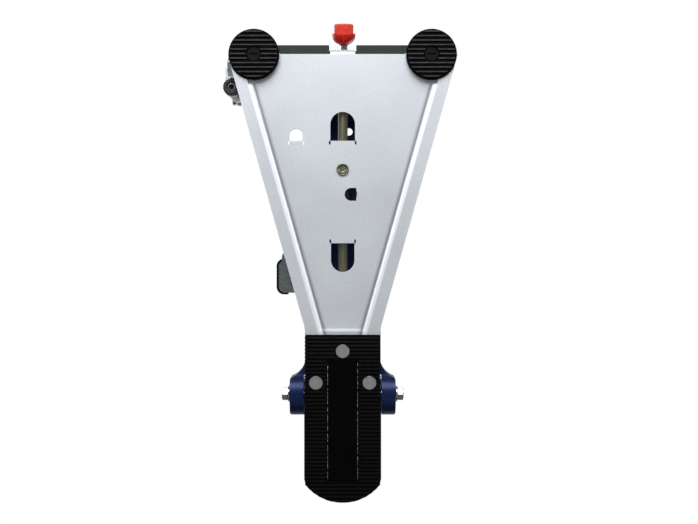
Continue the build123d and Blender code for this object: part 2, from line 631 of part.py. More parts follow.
def hub_screws():
    """Square-headed key screw for the beater and a grub screw for the axle."""
    key = bar((0, *along_shaft(30, -13)), (0, *along_shaft(30, -3.7)), 2.5)
    y, z = along_shaft(30, -17.5)
    lean = math.radians(BEATER_LEAN)
    head_plane = Plane(origin=(0, y, z), x_dir=(1, 0, 0), z_dir=(0, math.cos(lean), -math.sin(lean)))
    key += extrude(head_plane * Rectangle(5.6, 5.6), 7)
    key += extrude(head_plane.offset(6.5) * Circle(4.4), 1.6)
    grub = bar((-13.5, AXLE_Y, AXLE_Z + 5.05), (-13.5, AXLE_Y, AXLE_Z + 10), 2.0)
    grub -= slab(Pos(-13.5, AXLE_Y) * hexagon(2), AXLE_Z + 8, AXLE_Z + 11)
    return key, grub


def arm_pin():
    pin = bar((-11, ARM_Y, ARM_Z), (11, ARM_Y, ARM_Z), ARM_PIN_R)
    return pin + [bar((x, ARM_Y, ARM_Z), (x + math.copysign(1.8, x), ARM_Y, ARM_Z), 4.6) for x in (-11, 11)]


EYE_Y = TOE_Y + TOE_SHIFT[0]
EYE_Z = TOE_Z + TOE_SHIFT[1]


def drive_link():
    """Rigid link between the drive arm and the toe pin."""
    dy = EYE_Y - ARM_Y
    dz = EYE_Z - ARM_Z
    length = math.hypot(dy, dz)
    ny = -dz / length * 4.2
    nz = dy / length * 4.2
    plan = disc(ARM_Y, ARM_Z, 6) + disc(EYE_Y, EYE_Z, 6)
    plan += shape((ARM_Y + ny, ARM_Z + nz), (EYE_Y + ny, EYE_Z + nz),
                  (EYE_Y - ny, EYE_Z - nz), (ARM_Y - ny, ARM_Z - nz))
    plan -= disc(ARM_Y, ARM_Z, 4.2) + disc(EYE_Y, EYE_Z, 4.6)
    return side(plan, -LINK_HALF, LINK_HALF)


def link_bushes():
    top = disc(ARM_Y, ARM_Z, 4.2) - disc(ARM_Y, ARM_Z, ARM_PIN_R + RUN)
    toe = disc(EYE_Y, EYE_Z, 4.6) - disc(EYE_Y, EYE_Z, TOE_PIN_R + TOE_GAP)
    return side(top, -LINK_HALF, LINK_HALF), side(toe, -LINK_HALF, LINK_HALF)


def beater_shaft():
    """Bent steel shaft: straight leg, one bend, short stem into the cup."""
    points = [(0, *along_shaft(14)), (0, *along_shaft(BEATER_LEG)),
              (0, *along_shaft(BEATER_LEG, BEATER_REACH + 3))]
    path = FilletPolyline(*points, radius=NECK_R)
    return sweep(Plane(origin=path @ 0, z_dir=path % 0) * Circle(BEATER_R), path)


def head_turned(profile):
    """Revolve a profile drawn with X outwards and Y along the beater head."""
    solid = revolve(Plane.XZ * profile, Axis.Z)
    y, z = along_shaft(BEATER_LEG, BEATER_REACH)
    return Location((0, y, z), (-90 - BEATER_LEAN, 0, 0)) * solid


def beater_cup():
    """Hard shell: domed at the stem, open towards the felt."""
    half = make_face([
        Line((0, 0), (4, 0)),
        ThreePointArc((4, 0), (9.1, 3.4), (CUP_R, 9.5)),
        Line((CUP_R, 9.5), (CUP_R, CUP_LEN)),
        Line((CUP_R, CUP_LEN), (FELT_R, CUP_LEN)),
        Line((FELT_R, CUP_LEN), (FELT_R, 6)),
        Line((FELT_R, 6), (0, 6)),
        Line((0, 6), (0, 0)),
    ])
    return head_turned(half) - bar((0, *along_shaft(BEATER_LEG, BEATER_REACH - 2)),
                                   (0, *along_shaft(BEATER_LEG, BEATER_REACH + 3)), BEATER_R)


def beater_felt():
    """Compressed felt plug held in the shell."""
    top = CUP_LEN + FELT_OUT
    half = make_face([
        Line((0, 6), (FELT_R, 6)),
        Line((FELT_R, 6), (FELT_R, top - 1.5)),
        ThreePointArc((FELT_R, top - 1.5), (FELT_R - 0.5, top - 0.5), (FELT_R - 1.5, top)),
        Line((FELT_R - 1.5, top), (0, top)),
        Line((0, top), (0, 6)),
    ])
    return head_turned(half)


def spring_rocker():
    """Short crank on the axle's right end that pulls the spring."""
    plan = disc(AXLE_Y, AXLE_Z, 10.5) + disc(SPRING_Y, ROCKER_Z, 6)
    plan -= disc(AXLE_Y, AXLE_Z, AXLE_R) + disc(SPRING_Y, ROCKER_Z, 3)
    return side(plan, 79, 88.4)


def rocker_screw():
    x = 94.4
    screw = bar((79.5, SPRING_Y, ROCKER_Z), (x, SPRING_Y, ROCKER_Z), 3)
    screw += bar((x, SPRING_Y, ROCKER_Z), (x + 3.2, SPRING_Y, ROCKER_Z), 5)
    return screw - side(Pos(SPRING_Y, ROCKER_Z) * hexagon(4), x + 1.4, x + 4)


def spring_swivel():
    """Hanger on the rocker's screw that keeps the spring upright."""
    plan = disc(SPRING_Y, ROCKER_Z, 5.6) + shape((SPRING_Y - 3.4, ROCKER_Z), (SPRING_Y + 3.4, ROCKER_Z),
                                                (SPRING_Y + 3.4, 93), (SPRING_Y - 3.4, 93))
    plan += disc(SPRING_Y, 93.2, 4.4)
    plan -= disc(SPRING_Y, ROCKER_Z, 3 + RUN) + disc(SPRING_Y, 92.6, 2.0)
    return side(plan, SPRING_X - 2.2, SPRING_X + 2.2)


# ---------------------------------------------------------------- hoop clamp
def clamp_rod():
    rod = bar((0, ROD_Y0, ROD_Z), (0, ROD_Y1, ROD_Z), ROD_R)
    return chamfer(rod.edges().filter_by(GeomType.CIRCLE), 0.7)


def on_lever(solid):
    """Turn a piece drawn level to the lever's rise about the rod."""
    return Pos(0, 0, ROD_Z) * Rot(0, -LEVER_RISE, 0) * solid


def lever_arm():
    """Side lever with a curved foot pad, keyed on the rod."""
    hub = front(Pos(0, ROD_Z) * (Circle(6.6) - Circle(ROD_R)), 82, 98)
    blade = Pos(23, 89, 0) * Box(34, 14, 3)
    pad_plan = make_face([
        Line((37, 82), (48.6, 82)),
        ThreePointArc((48.6, 82), (52.2, 83.6), (53.6, 87)),
        Line((53.6, 87), (53.6, 103)),
        ThreePointArc((53.6, 103), (53.0, 106.2), (51, 108)),
        ThreePointArc((51, 108), (50.9, 111), (50.2, 114)),
        Line((50.2, 114), (46, 114)),
        ThreePointArc((46, 114), (40.6, 104), (37, 96)),
        Line((37, 96), (37, 82)),
    ])
    arm = on_lever(blade + slab(pad_plan, -1.5, 1.5))
    return hub + arm - bar((0, 80, ROD_Z), (0, 100, ROD_Z), ROD_R)


def lever_edge():
    """Rubber edging on the lever's outer rim."""
    outer = make_face([
        Line((46, 80.6), (48.6, 80.6)),
        ThreePointArc((48.6, 80.6), (53.4, 82.4), (55.2, 87)),
        Line((55.2, 87), (55.2, 103)),
        ThreePointArc((55.2, 103), (54.2, 107.2), (51, 109.6)),
        Line((51, 109.6), (51, 108)),
        ThreePointArc((51, 108), (53.0, 106.2), (53.6, 103)),
        Line((53.6, 103), (53.6, 87)),
        ThreePointArc((53.6, 87), (52.2, 83.6), (48.6, 82)),
        Line((48.6, 82), (46, 82)),
        Line((46, 82), (46, 80.6)),
    ])
    return on_lever(slab(outer, -2.3, 2.3))


def rod_cam():
    """Eccentric disc on the front of the rod, under the jaw's tail."""
    plan = Pos(-6, ROD_Z) * Circle(7) + Pos(0, ROD_Z) * Circle(7)
    return front(plan - Pos(0, ROD_Z) * Circle(ROD_R), 229, 238)


def rod_collar():
    """Black collar with a stop finger that rests on a tab of the base plate."""
    plan = Pos(0, ROD_Z) * Circle(6.6) + Pos(-9, 23.6) * Rectangle(12, 3)
    return front(plan - Pos(0, ROD_Z) * Circle(ROD_R), 156.5, 166)


def clamp_jaw():
    """Rocking jaw: tail over the cam, nose over the drum hoop."""
    profile = shape((228.5, 25.5), (243, 25.5), (250, 28), (262, 29), (268, 39), (282.5, 39),
                    (282.5, 43), (273, 43), (266, 41), (247, 40), (240, 32), (228.5, 31))
    profile -= disc(JAW_Y, JAW_Z, JAW_PIN_R + RUN)
    return side(profile, -JAW_HALF, JAW_HALF)


def jaw_pad():
    pad = block(-JAW_HALF + 1, JAW_HALF - 1, 268.6, 282, 36, 39)
    return chamfer(pad.edges().group_by(Axis.Z)[0], 0.6)


def clamp_jaw_pin():
    return bar((-24.6, JAW_Y, JAW_Z), (24.6, JAW_Y, JAW_Z), JAW_PIN_R)


def main():
    os.makedirs("parts", exist_ok=True)
    save("base_plate", base_plate())
    save("heel_sole", heel_sole())
    save("grip_strip", grip_strip())
    save("sole_rivets", *[rivet(x, y, 1.2, 8, RIVET_R, 5.5, 1.2, 2.4) for x, y in RIVETS])
    save("panel_rivet", panel_eyelet())
    save("front_foot_right", front_foot(1))
    save("front_foot_left", front_foot(-1))
    save("foot_screws", foot_screw(1), foot_screw(-1))
    save("hoop_cross_bar", hoop_cross_bar())
    save("hoop_pad", hoop_pad())
    save("post_right", post(1))
    save("post_left", post(-1))
    save("post_screws", *[post_screw(x, y) for x in (-POST_SCREW_X, POST_SCREW_X) for y in POST_SCREW_Y])
    save("bearing_right", bearing(1))
    save("bearing_left", bearing(-1))
    save("spring_bracket", spring_bracket())
    save("bracket_bolt", bracket_bolt())
    save("spring_eye_bolt", spring_eye_bolt())
    save("return_spring", *return_spring())
    save("spring_knob", spring_knob())
    save("knob_nut", knob_nut())
    save("heel_block", heel_block())
    save("heel_axle", heel_axle())
    save("heel_nuts", acorn_nut(1), acorn_nut(-1))
    save("heel_washers", heel_washer(1), heel_washer(-1))
    save("heel_bushes", heel_bush(1), heel_bush(-1))
    save("footboard", footboard())
    save("toe_clevis", toe_clevis())
    save("clevis_screws", *[clevis_screw(x, y) for x in (-10, 10) for y in (236, 244)])
    save("toe_pin", toe_pin())
    save("axle_shaft", axle_shaft())
    save("axle_collar", axle_collar())
    save("drive_hub", drive_hub())
    save("hub_screws", *hub_screws())
    save("arm_pin", arm_pin())
    save("drive_link", drive_link())
    save("link_bushes", *link_bushes())
    save("beater_shaft", beater_shaft())
    save("beater_cup", beater_cup())
    save("beater_felt", beater_felt())
    save("spring_rocker", spring_rocker())
    save("rocker_screw", rocker_screw())
    save("spring_swivel", spring_swivel())
    save("clamp_rod", clamp_rod())
    save("lever_arm", lever_arm())
    save("lever_edge", lever_edge())
    save("rod_cam", rod_cam())
    save("rod_collar", rod_collar())
    save("clamp_jaw", clamp_jaw())
    save("jaw_pad", jaw_pad())
    save("clamp_jaw_pin", clamp_jaw_pin())


main()
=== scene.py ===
"""Bass drum pedal: detailed pieces, finishes, floor, lights and camera around the fixed frame.

Laid out as an add-on: each piece or group of like pieces is one operator, the sizes and colours
a user would change are properties, and a sidebar panel lists the operators. Metres throughout.
"""
import json
import math

import bpy
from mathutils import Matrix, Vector


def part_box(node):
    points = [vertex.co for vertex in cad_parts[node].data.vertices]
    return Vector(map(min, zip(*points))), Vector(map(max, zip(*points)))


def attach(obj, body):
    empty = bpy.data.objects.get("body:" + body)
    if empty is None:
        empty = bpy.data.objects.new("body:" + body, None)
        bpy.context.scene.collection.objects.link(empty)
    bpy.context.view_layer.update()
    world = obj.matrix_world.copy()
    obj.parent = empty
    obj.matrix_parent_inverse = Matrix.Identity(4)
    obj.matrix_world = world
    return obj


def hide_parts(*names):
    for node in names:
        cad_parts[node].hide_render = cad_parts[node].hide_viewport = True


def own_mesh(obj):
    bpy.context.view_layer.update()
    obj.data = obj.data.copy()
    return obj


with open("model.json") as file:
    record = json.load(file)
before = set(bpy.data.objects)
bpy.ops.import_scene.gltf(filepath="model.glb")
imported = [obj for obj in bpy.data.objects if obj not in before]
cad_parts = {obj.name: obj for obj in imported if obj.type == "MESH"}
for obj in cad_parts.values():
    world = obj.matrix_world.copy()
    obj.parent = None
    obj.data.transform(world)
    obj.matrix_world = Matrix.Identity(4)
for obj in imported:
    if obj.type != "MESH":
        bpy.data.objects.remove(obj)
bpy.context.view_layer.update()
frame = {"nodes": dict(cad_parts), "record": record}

bl_info = {
    "name": "Bass drum pedal",
    "version": (1, 0, 0),
    "blender": (4, 5, 0),
    "location": "View3D > Sidebar > Pedal",
    "description": "Builds the visible pieces and finishes of a bass drum pedal around its frame",
    "category": "Object",
}

MM = 0.001
SPAN_SOCKETS = ("From Min", "From Max", "To Min", "To Max")
SMOOTH_ANGLE = 34.0
CAMERA_AT = (-0.0051, 0.1072, -1.0)
CAMERA_LENS = 64.47
FLOOR_SIZE = 3
BODIES = frame["record"]["behaviour"]["bodies"]
JOINTS = {joint["name"]: joint for joint in frame["record"]["behaviour"]["joints"]}
AXLE = Vector(JOINTS["beater_axle"]["pos_m"])
SHAFT_WAY = Vector(JOINTS["beater_height"]["axis"])
HEAD_WAY = Vector((0, SHAFT_WAY.z, -SHAFT_WAY.y))
KNOB_AT = Vector(JOINTS["spring_knob_turn"]["pos_m"])
SLOTS = {part["node"]: part["material_slot"] for part in frame["record"]["subparts"]}


# ---------------------------------------------------------------- sizes and colours
def length(name, description, default):
    """A length property in metres."""
    return bpy.props.FloatProperty(name=name, description=description, default=default, min=0.0,
                                   precision=5, subtype="DISTANCE", unit="LENGTH")


def colour(name, description, default):
    """A linear colour property."""
    return bpy.props.FloatVectorProperty(name=name, description=description, default=default,
                                         size=3, min=0.0, max=1.0, subtype="COLOR")


class PedalSizes(bpy.types.PropertyGroup):
    """Sizes of the details that the frame leaves open."""

    sheet_round: length("Sheet rounding", "Radius on the pressed steel's edges", 0.45 * MM)
    cast_round: length("Casting rounding", "Radius on the castings' edges", 0.7 * MM)
    steel_round: length("Steel rounding", "Radius on turned and rolled steel edges", 0.3 * MM)
    rubber_round: length("Rubber rounding", "Radius on the rubber's ribs and rims", 0.3 * MM)
    waist_half: length("Waist half width", "Half width of the base plate where its taper starts", 31.4 * MM)
    front_half: length("Front half width", "Half width of the base plate at its front edge", 92.9 * MM)
    waist_y: length("Waist place", "From the heel hinge to the start of the taper", 57.6 * MM)
    front_y: length("Front place", "From the heel hinge to the front edge", 275.0 * MM)
    ridge: length("Foot ridge", "Width of the ridges across the front feet", 1.1 * MM)
    ridge_pitch: length("Foot ridge pitch", "From one ridge to the next", 3.6 * MM)
    spring_wire: length("Spring wire", "Radius of the return spring's wire", 0.85 * MM)
    spring_round: length("Spring radius", "Radius of the return spring's coil", 5.0 * MM)
    felt_fuzz: length("Felt fuzz", "Height of the lumps on the beater's felt", 0.45 * MM)
    beater_leg: length("Beater leg", "From the axle to the head's middle line", 146.9 * MM)
    beater_reach: length("Beater reach", "From the shaft's line to the back of the cup", 22.5 * MM)
    shaft_round: length("Shaft radius", "Radius of the beater shaft", 3.5 * MM)
    bend_round: length("Shaft bend", "Radius of the bend in the beater shaft", 12 * MM)


class PedalColours(bpy.types.PropertyGroup):
    """Colours of the finishes."""

    plate: colour("Plate", "Silver paint on the base plate", (0.63, 0.665, 0.71))
    casting: colour("Castings", "Polished and lacquered castings", (0.60, 0.61, 0.63))
    bar: colour("Cross bar", "Dark grey-green paint on the cross bar", (0.022, 0.034, 0.028))
    blue: colour("Blue", "Blue coat on the footboard and heel", (0.006, 0.016, 0.075))
    rubber: colour("Rubber", "Black rubber", (0.0016, 0.0014, 0.0016))
    felt: colour("Felt", "Red felt of the beater", (0.90, 0.050, 0.030))
    shell: colour("Shell", "Red plastic shell of the beater", (0.46, 0.008, 0.004))
    rod: colour("Rod", "Yellow zinc plating on the clamp rod", (0.20, 0.20, 0.135))
    brass: colour("Brass", "Brass and bronze", (0.52, 0.42, 0.20))


def sizes():
    """The pedal's size properties."""
    return bpy.context.scene.pedal_sizes


def colours():
    """The pedal's colour properties."""
    return bpy.context.scene.pedal_colours


# ---------------------------------------------------------------- node helpers
class Finish:
    """A material under construction: a Principled shader and short calls for its texture nodes."""

    def __init__(self, name, base, roughness, metallic=0.0, **sockets):
        self.material = bpy.data.materials.new(name)
        self.material.use_nodes = True
        self.nodes = self.material.node_tree.nodes
        self.links = self.material.node_tree.links
        self.shader = self.nodes["Principled BSDF"]
        self.shader.inputs["Base Color"].default_value = (*base, 1)
        self.shader.inputs["Roughness"].default_value = roughness
        self.shader.inputs["Metallic"].default_value = metallic
        for socket, value in sockets.items():
            self.shader.inputs[socket.replace("_", " ")].default_value = value
        self.place = self.nodes.new("ShaderNodeTexCoord").outputs["Object"]

    def stretched(self, x, y, z):
        """Object coordinates scaled along each axis."""
        node = self.nodes.new("ShaderNodeMapping")
        node.inputs["Scale"].default_value = (x, y, z)
        self.links.new(self.place, node.inputs["Vector"])
        return node.outputs["Vector"]

    def along(self, axis):
        """Place along an axis of the pedal."""
        split = self.nodes.new("ShaderNodeSeparateXYZ")
        self.links.new(self.place, split.inputs[0])
        return split.outputs[axis]

    def from_taper(self):
        """Distance inwards from the base plate's slanted edges, measured across the pedal."""
        side = sizes()
        slope = (side.front_half - side.waist_half) / (side.front_y - side.waist_y)
        edge = self.math("MULTIPLY", self.math("SUBTRACT", self.along("Y"), side.waist_y), slope)
        return self.math("SUBTRACT", self.math("ADD", edge, side.waist_half), self.across("X"))

    def across(self, axis):
        """Distance from the pedal's middle plane along an axis."""
        return self.math("ABSOLUTE", self.along(axis), 0.0)

    def noise(self, scale, detail=4.0, rough=0.55, vector=None):
        node = self.nodes.new("ShaderNodeTexNoise")
        node.inputs["Scale"].default_value = scale
        node.inputs["Detail"].default_value = detail
        node.inputs["Roughness"].default_value = rough
        self.links.new(vector or self.place, node.inputs["Vector"])
        return node.outputs["Fac"]

    def cells(self, scale, feature="F1", vector=None):
        node = self.nodes.new("ShaderNodeTexVoronoi")
        node.feature = feature
        node.inputs["Scale"].default_value = scale
        self.links.new(vector or self.place, node.inputs["Vector"])
        return node.outputs["Distance"]

    def span(self, value, low, high, to_low=0.0, to_high=1.0):
        """Map a range of a texture to another range, clamped."""
        node = self.nodes.new("ShaderNodeMapRange")
        limits = (low, high, to_low, to_high)
        for socket, number in zip(SPAN_SOCKETS, limits):
            node.inputs[socket].default_value = number
        self.links.new(value, node.inputs["Value"])
        return node.outputs["Result"]

    def blend(self, factor, first, second):
        """Mix two colours, or a colour output and a colour."""
        node = self.nodes.new("ShaderNodeMix")
        node.data_type = "RGBA"
        for socket, value in ((node.inputs[6], first), (node.inputs[7], second)):
            if isinstance(value, bpy.types.NodeSocket):
                self.links.new(value, socket)
            else:
                socket.default_value = (*value, 1)
        self.links.new(factor, node.inputs["Factor"])
        return node.outputs[2]

    def math(self, operation, first, second):
        node = self.nodes.new("ShaderNodeMath")
        node.operation = operation
        for socket, value in ((node.inputs[0], first), (node.inputs[1], second)):
            if isinstance(value, (int, float)):
                socket.default_value = value
            else:
                self.links.new(value, socket)
        return node.outputs[0]

    def edges(self, reach=0.9 * MM, low=0.02, high=0.22):
        """Mask that is 1 on edges: where a rounded normal leaves the true one."""
        geometry = self.nodes.new("ShaderNodeNewGeometry")
        soft = self.nodes.new("ShaderNodeBevel")
        soft.samples = 4
        soft.inputs["Radius"].default_value = reach
        dot = self.nodes.new("ShaderNodeVectorMath")
        dot.operation = "DOT_PRODUCT"
        self.links.new(soft.outputs["Normal"], dot.inputs[0])
        self.links.new(geometry.outputs["Normal"], dot.inputs[1])
        return self.span(self.math("SUBTRACT", 1.0, dot.outputs["Value"]), low, high)

    def to(self, socket, value):
        self.links.new(value, self.shader.inputs[socket])
        return self

    def bump(self, height, strength, distance):
        node = self.nodes.new("ShaderNodeBump")
        node.inputs["Strength"].default_value = strength
        node.inputs["Distance"].default_value = distance
        self.links.new(height, node.inputs["Height"])
        last = self.shader.inputs["Normal"].links
        if last:
            self.links.new(last[0].from_socket, node.inputs["Normal"])
        self.links.new(node.outputs["Normal"], self.shader.inputs["Normal"])
        return self


def tint(base, factor):
    """A colour made lighter or darker."""
    return tuple(min(1.0, channel * factor) for channel in base)


# ---------------------------------------------------------------- finishes
def silver_paint():
    """Fine-grained silver paint, clouded and scuffed, with a painted highlight on the shoulders and painted
    shade in the crease beside them.
    """
    base = colours().plate
    f = Finish("silver_paint", base, 0.42, 0.25, Coat_Weight=0.15, Coat_Roughness=0.3)
    cloud = f.span(f.noise(14, 3), 0.3, 0.7)
    grain = f.noise(2600, 2)
    mottle = f.span(f.noise(620, 3), 0.32, 0.68)
    shade = f.math("MULTIPLY", f.math("ADD", cloud, mottle), 0.5)
    clouded = f.blend(shade, tint(base, 0.92), tint(base, 1.07))
    speckled = f.blend(f.span(grain, 0.62, 0.78, 0, 0.22), clouded, tint(base, 1.35))
    scuffs = f.span(f.noise(90, 8, 0.7, f.stretched(1, 0.22, 1)), 0.66, 0.74, 0, 0.5)
    scuffed = f.blend(scuffs, speckled, tint(base, 0.72))
    inset = f.from_taper()
    # Painted highlight: a near-white band over the shoulder fillets, standing in for the light they catch.
    painted_highlight = f.math("MULTIPLY", f.span(inset, 9.0 * MM, 10.4 * MM), f.span(inset, 12.6 * MM, 13.7 * MM, 1, 0))
    # Painted shade: a dark line along the crease where the shoulders meet the panel, fading out onto the
    # panel.
    painted_crease_shade = f.math("MULTIPLY", f.span(inset, 13.7 * MM, 14.1 * MM), f.span(inset, 14.7 * MM, 18.5 * MM, 1, 0))
    # Both painted bands stop just behind the front feet.
    below_foot = f.span(f.along("Y"), 250 * MM, 252 * MM, 1, 0)
    with_painted_shade = f.blend(f.math("MULTIPLY", f.math("POWER", painted_crease_shade, 2.2), below_foot), scuffed, tint(base, 0.36))
    with_painted_highlight = f.blend(f.math("MULTIPLY", painted_highlight, below_foot), with_painted_shade, (0.95, 0.96, 0.98))
    f.to("Base Color", f.blend(f.math("MULTIPLY", f.edges(), 0.5), with_painted_highlight, tint(base, 1.25)))
    f.to("Roughness", f.span(f.math("ADD", cloud, scuffs), 0, 1.5, 0.36, 0.56))
    f.bump(grain, 0.18, 0.00004)
    f.bump(f.noise(420, 3), 0.12, 0.00012)
    return f.material


def cast_silver():
    """Polished casting under clear lacquer: soft waves, fine pits."""
    base = colours().casting
    f = Finish("cast_silver", base, 0.34, 0.85, Coat_Weight=0.15, Coat_Roughness=0.2)
    wave = f.noise(45, 3)
    pits = f.span(f.cells(900), 0.0, 0.18, 1, 0)
    f.to("Base Color", f.blend(f.span(wave, 0.35, 0.65), tint(base, 0.95), tint(base, 1.04)))
    f.to("Roughness", f.span(f.noise(220, 6), 0.3, 0.7, 0.3, 0.42))
    f.bump(wave, 0.05, 0.0003)
    f.bump(pits, 0.12, 0.00003)
    return f.material


def dark_bar_paint():
    """Grey-green paint with a fine orange peel and chipped edges."""
    base = colours().bar
    f = Finish("dark_bar_paint", base, 0.5, 0.1, Specular_IOR_Level=0.2)
    worn = f.math("MULTIPLY", f.edges(), f.span(f.noise(260, 6), 0.55, 0.65))
    f.to("Base Color", f.blend(worn, f.blend(f.noise(30, 4), tint(base, 0.8), tint(base, 1.3)),
                               (0.16, 0.18, 0.17)))
    f.to("Roughness", f.span(f.noise(160, 5), 0.3, 0.7, 0.32, 0.52))
    f.bump(f.noise(700, 2), 0.2, 0.00008)
    return f.material


def blue_coat():
    """Deep blue metallic coat, satin, with fine sparkle and a little wear on its edges."""
    base = colours().blue
    f = Finish("blue_coat", base, 0.34, 0.3, Coat_Weight=0.08, Coat_Roughness=0.12, Specular_IOR_Level=0.18)
    flakes = f.span(f.cells(2400), 0.0, 0.35, 1, 0)
    body = f.blend(f.noise(35, 4), tint(base, 0.75), tint(base, 1.3))
    sparkle = f.blend(f.math("MULTIPLY", flakes, 0.12), body, tint(base, 3.0))
    worn = f.math("MULTIPLY", f.edges(0.5 * MM), f.span(f.noise(300, 8), 0.55, 0.68, 0, 0.6))
    f.to("Base Color", f.blend(worn, sparkle, (0.16, 0.19, 0.28)))
    f.to("Roughness", f.span(f.noise(180, 6), 0.3, 0.7, 0.28, 0.44))
    f.bump(f.noise(900, 2), 0.12, 0.00005)
    return f.material


def black_rubber():
    """Moulded rubber: matt and finely pitted, with a painted highlight on the ridges that touch the floor,
    stronger towards the drum.
    """
    base = colours().rubber
    f = Finish("black_rubber", base, 0.75, 0.0, Specular_IOR_Level=0.05)
    # Painted highlight: the faces nearest the floor, which are the ridge tops, are made lighter in patches
    # and fade towards the heel.
    floor_side = f.span(f.along("Z"), 0.05 * MM, 0.4 * MM, 1, 0)
    towards_drum = f.span(f.along("Y"), 20 * MM, 240 * MM, 0.1, 1)
    painted_highlight = f.math("MULTIPLY", f.span(f.noise(160, 6, 0.6), 0.3, 0.62, 0.45, 1), towards_drum)
    edge = f.math("MULTIPLY", f.edges(), f.span(f.noise(500, 4), 0.4, 0.65, 0, 0.2))
    # Mixes real edge wear with the painted highlight on the ridge tops.
    worn = f.math("MAXIMUM", edge, f.math("MULTIPLY", floor_side, painted_highlight))
    f.to("Base Color", f.blend(worn, base, (0.055, 0.056, 0.060)))
    f.to("Roughness", f.span(f.noise(350, 5), 0.3, 0.7, 0.55, 0.8))
    f.bump(f.noise(1500, 3), 0.35, 0.0001)
    return f.material


def hook_tape():
    """Moulded hook tape: dense rows of tiny black hooks, with a painted highlight along both long edges."""
    base = tint(colours().rubber, 1.6)
    f = Finish("hook_tape", base, 0.9, 0.0, Specular_IOR_Level=0.04)
    rows = f.cells(1100, vector=f.stretched(1, 1, 0.2))
    hooks = f.blend(f.span(rows, 0.1, 0.5), tint(base, 2.4), tint(base, 0.5))
    # Painted highlight: a pale line along both long edges, broken up by noise.
    painted_edge_highlight = f.span(f.across("X"), 11.75 * MM, 11.95 * MM)
    edge_highlight_breakup = f.span(f.noise(330, 4), 0.42, 0.6)
    f.to("Base Color", f.blend(f.math("MULTIPLY", painted_edge_highlight, edge_highlight_breakup), hooks, (0.42, 0.42, 0.42)))
    f.bump(rows, 0.7, 0.0003)
    f.bump(f.noise(160, 4), 0.3, 0.0003)
    return f.material


def red_felt():
    """Pressed wool felt: mottled red with tangled fibres and a soft bloom."""
    base = colours().felt
    f = Finish("red_felt", base, 0.95, 0.0, Sheen_Weight=0.6, Sheen_Roughness=0.6,
               Sheen_Tint=(1.0, 0.35, 0.3, 1.0), Specular_IOR_Level=0.2)
    clumps = f.span(f.noise(420, 6, 0.7), 0.3, 0.6)
    strands = f.noise(1500, 8, 0.75, f.stretched(1, 0.35, 0.7))
    mottled = f.blend(clumps, tint(base, 0.62), tint(base, 1.1))
    fibres = f.blend(f.span(strands, 0.55, 0.7, 0, 0.6), mottled, (0.85, 0.20, 0.13))
    f.to("Base Color", f.blend(f.span(strands, 0.30, 0.42, 0.55, 0), fibres, tint(base, 0.4)))
    f.bump(strands, 0.8, 0.0004)
    f.bump(clumps, 0.5, 0.0006)
    return f.material


def red_shell():
    """Satin red moulded plastic with faint flow marks."""
    base = colours().shell
    f = Finish("red_shell", base, 0.32, 0.0, Specular_IOR_Level=0.32)
    f.to("Base Color", f.blend(f.noise(70, 3), tint(base, 0.8), tint(base, 1.2)))
    f.to("Roughness", f.span(f.noise(260, 8), 0.4, 0.75, 0.26, 0.4))
    f.bump(f.noise(120, 2), 0.06, 0.0003)
    return f.material


def bright_chrome():
    """Bright plating with hairline wipes and a trace of haze."""
    f = Finish("bright_chrome", (0.78, 0.79, 0.80), 0.08, 1.0)
    wipes = f.noise(600, 6, 0.6, f.stretched(1, 0.1, 1))
    f.to("Base Color", f.blend(f.noise(90, 4), (0.46, 0.47, 0.48), (0.64, 0.65, 0.66)))
    f.to("Roughness", f.span(wipes, 0.35, 0.75, 0.05, 0.2))
    f.bump(wipes, 0.05, 0.00002)
    return f.material


def black_oxide():
    """Blackened screw steel, matt, slightly paler on its corners."""
    f = Finish("black_oxide", (0.004, 0.004, 0.0045), 0.55, 0.2, Specular_IOR_Level=0.12)
    f.to("Base Color", f.blend(f.edges(0.3 * MM), (0.004, 0.004, 0.0045), (0.03, 0.03, 0.03)))
    f.to("Roughness", f.span(f.noise(420, 5), 0.3, 0.7, 0.45, 0.65))
    f.bump(f.noise(1100, 3), 0.2, 0.00005)
    return f.material


def satin_rivet():
    """Nickel-grey rivet steel, rolled and slightly dull."""
    f = Finish("satin_rivet", (0.30, 0.31, 0.31), 0.45, 0.75)
    f.to("Base Color", f.blend(f.noise(380, 6), (0.26, 0.28, 0.275), (0.45, 0.475, 0.465)))
    f.to("Roughness", f.span(f.noise(500, 5), 0.3, 0.7, 0.35, 0.6))
    f.bump(f.noise(1200, 3), 0.3, 0.00006)
    return f.material


def zinc_rod():
    """Yellow-grey zinc plating, drawn lengthways."""
    base = colours().rod
    f = Finish("zinc_rod", base, 0.35, 0.85)
    drawn = f.noise(900, 5, 0.6, f.stretched(1, 0.02, 1))
    f.to("Base Color", f.blend(drawn, tint(base, 0.65), tint(base, 1.4)))
    f.to("Roughness", f.span(drawn, 0.3, 0.7, 0.25, 0.5))
    f.bump(drawn, 0.1, 0.00004)
    return f.material


def bare_brass():
    """Brass with a little tarnish in its hollows."""
    base = colours().brass
    f = Finish("bare_brass", base, 0.3, 0.9)
    f.to("Base Color", f.blend(f.span(f.noise(260, 6), 0.4, 0.7), base, tint(base, 0.45)))
    f.to("Roughness", f.span(f.noise(300, 6), 0.3, 0.7, 0.22, 0.5))
    f.bump(f.noise(900, 3), 0.15, 0.00004)
    return f.material


def lever_plate():
    """Nickel-plated lever steel with a fine grain across it."""
    f = Finish("lever_plate", (0.22, 0.24, 0.25), 0.34, 0.8)
    grain = f.noise(700, 5, 0.6, f.stretched(0.15, 1, 1))
    f.to("Base Color", f.blend(grain, (0.16, 0.18, 0.19), (0.32, 0.34, 0.35)))
    f.to("Roughness", f.span(grain, 0.3, 0.7, 0.22, 0.42))
    f.bump(grain, 0.08, 0.00004)
    return f.material


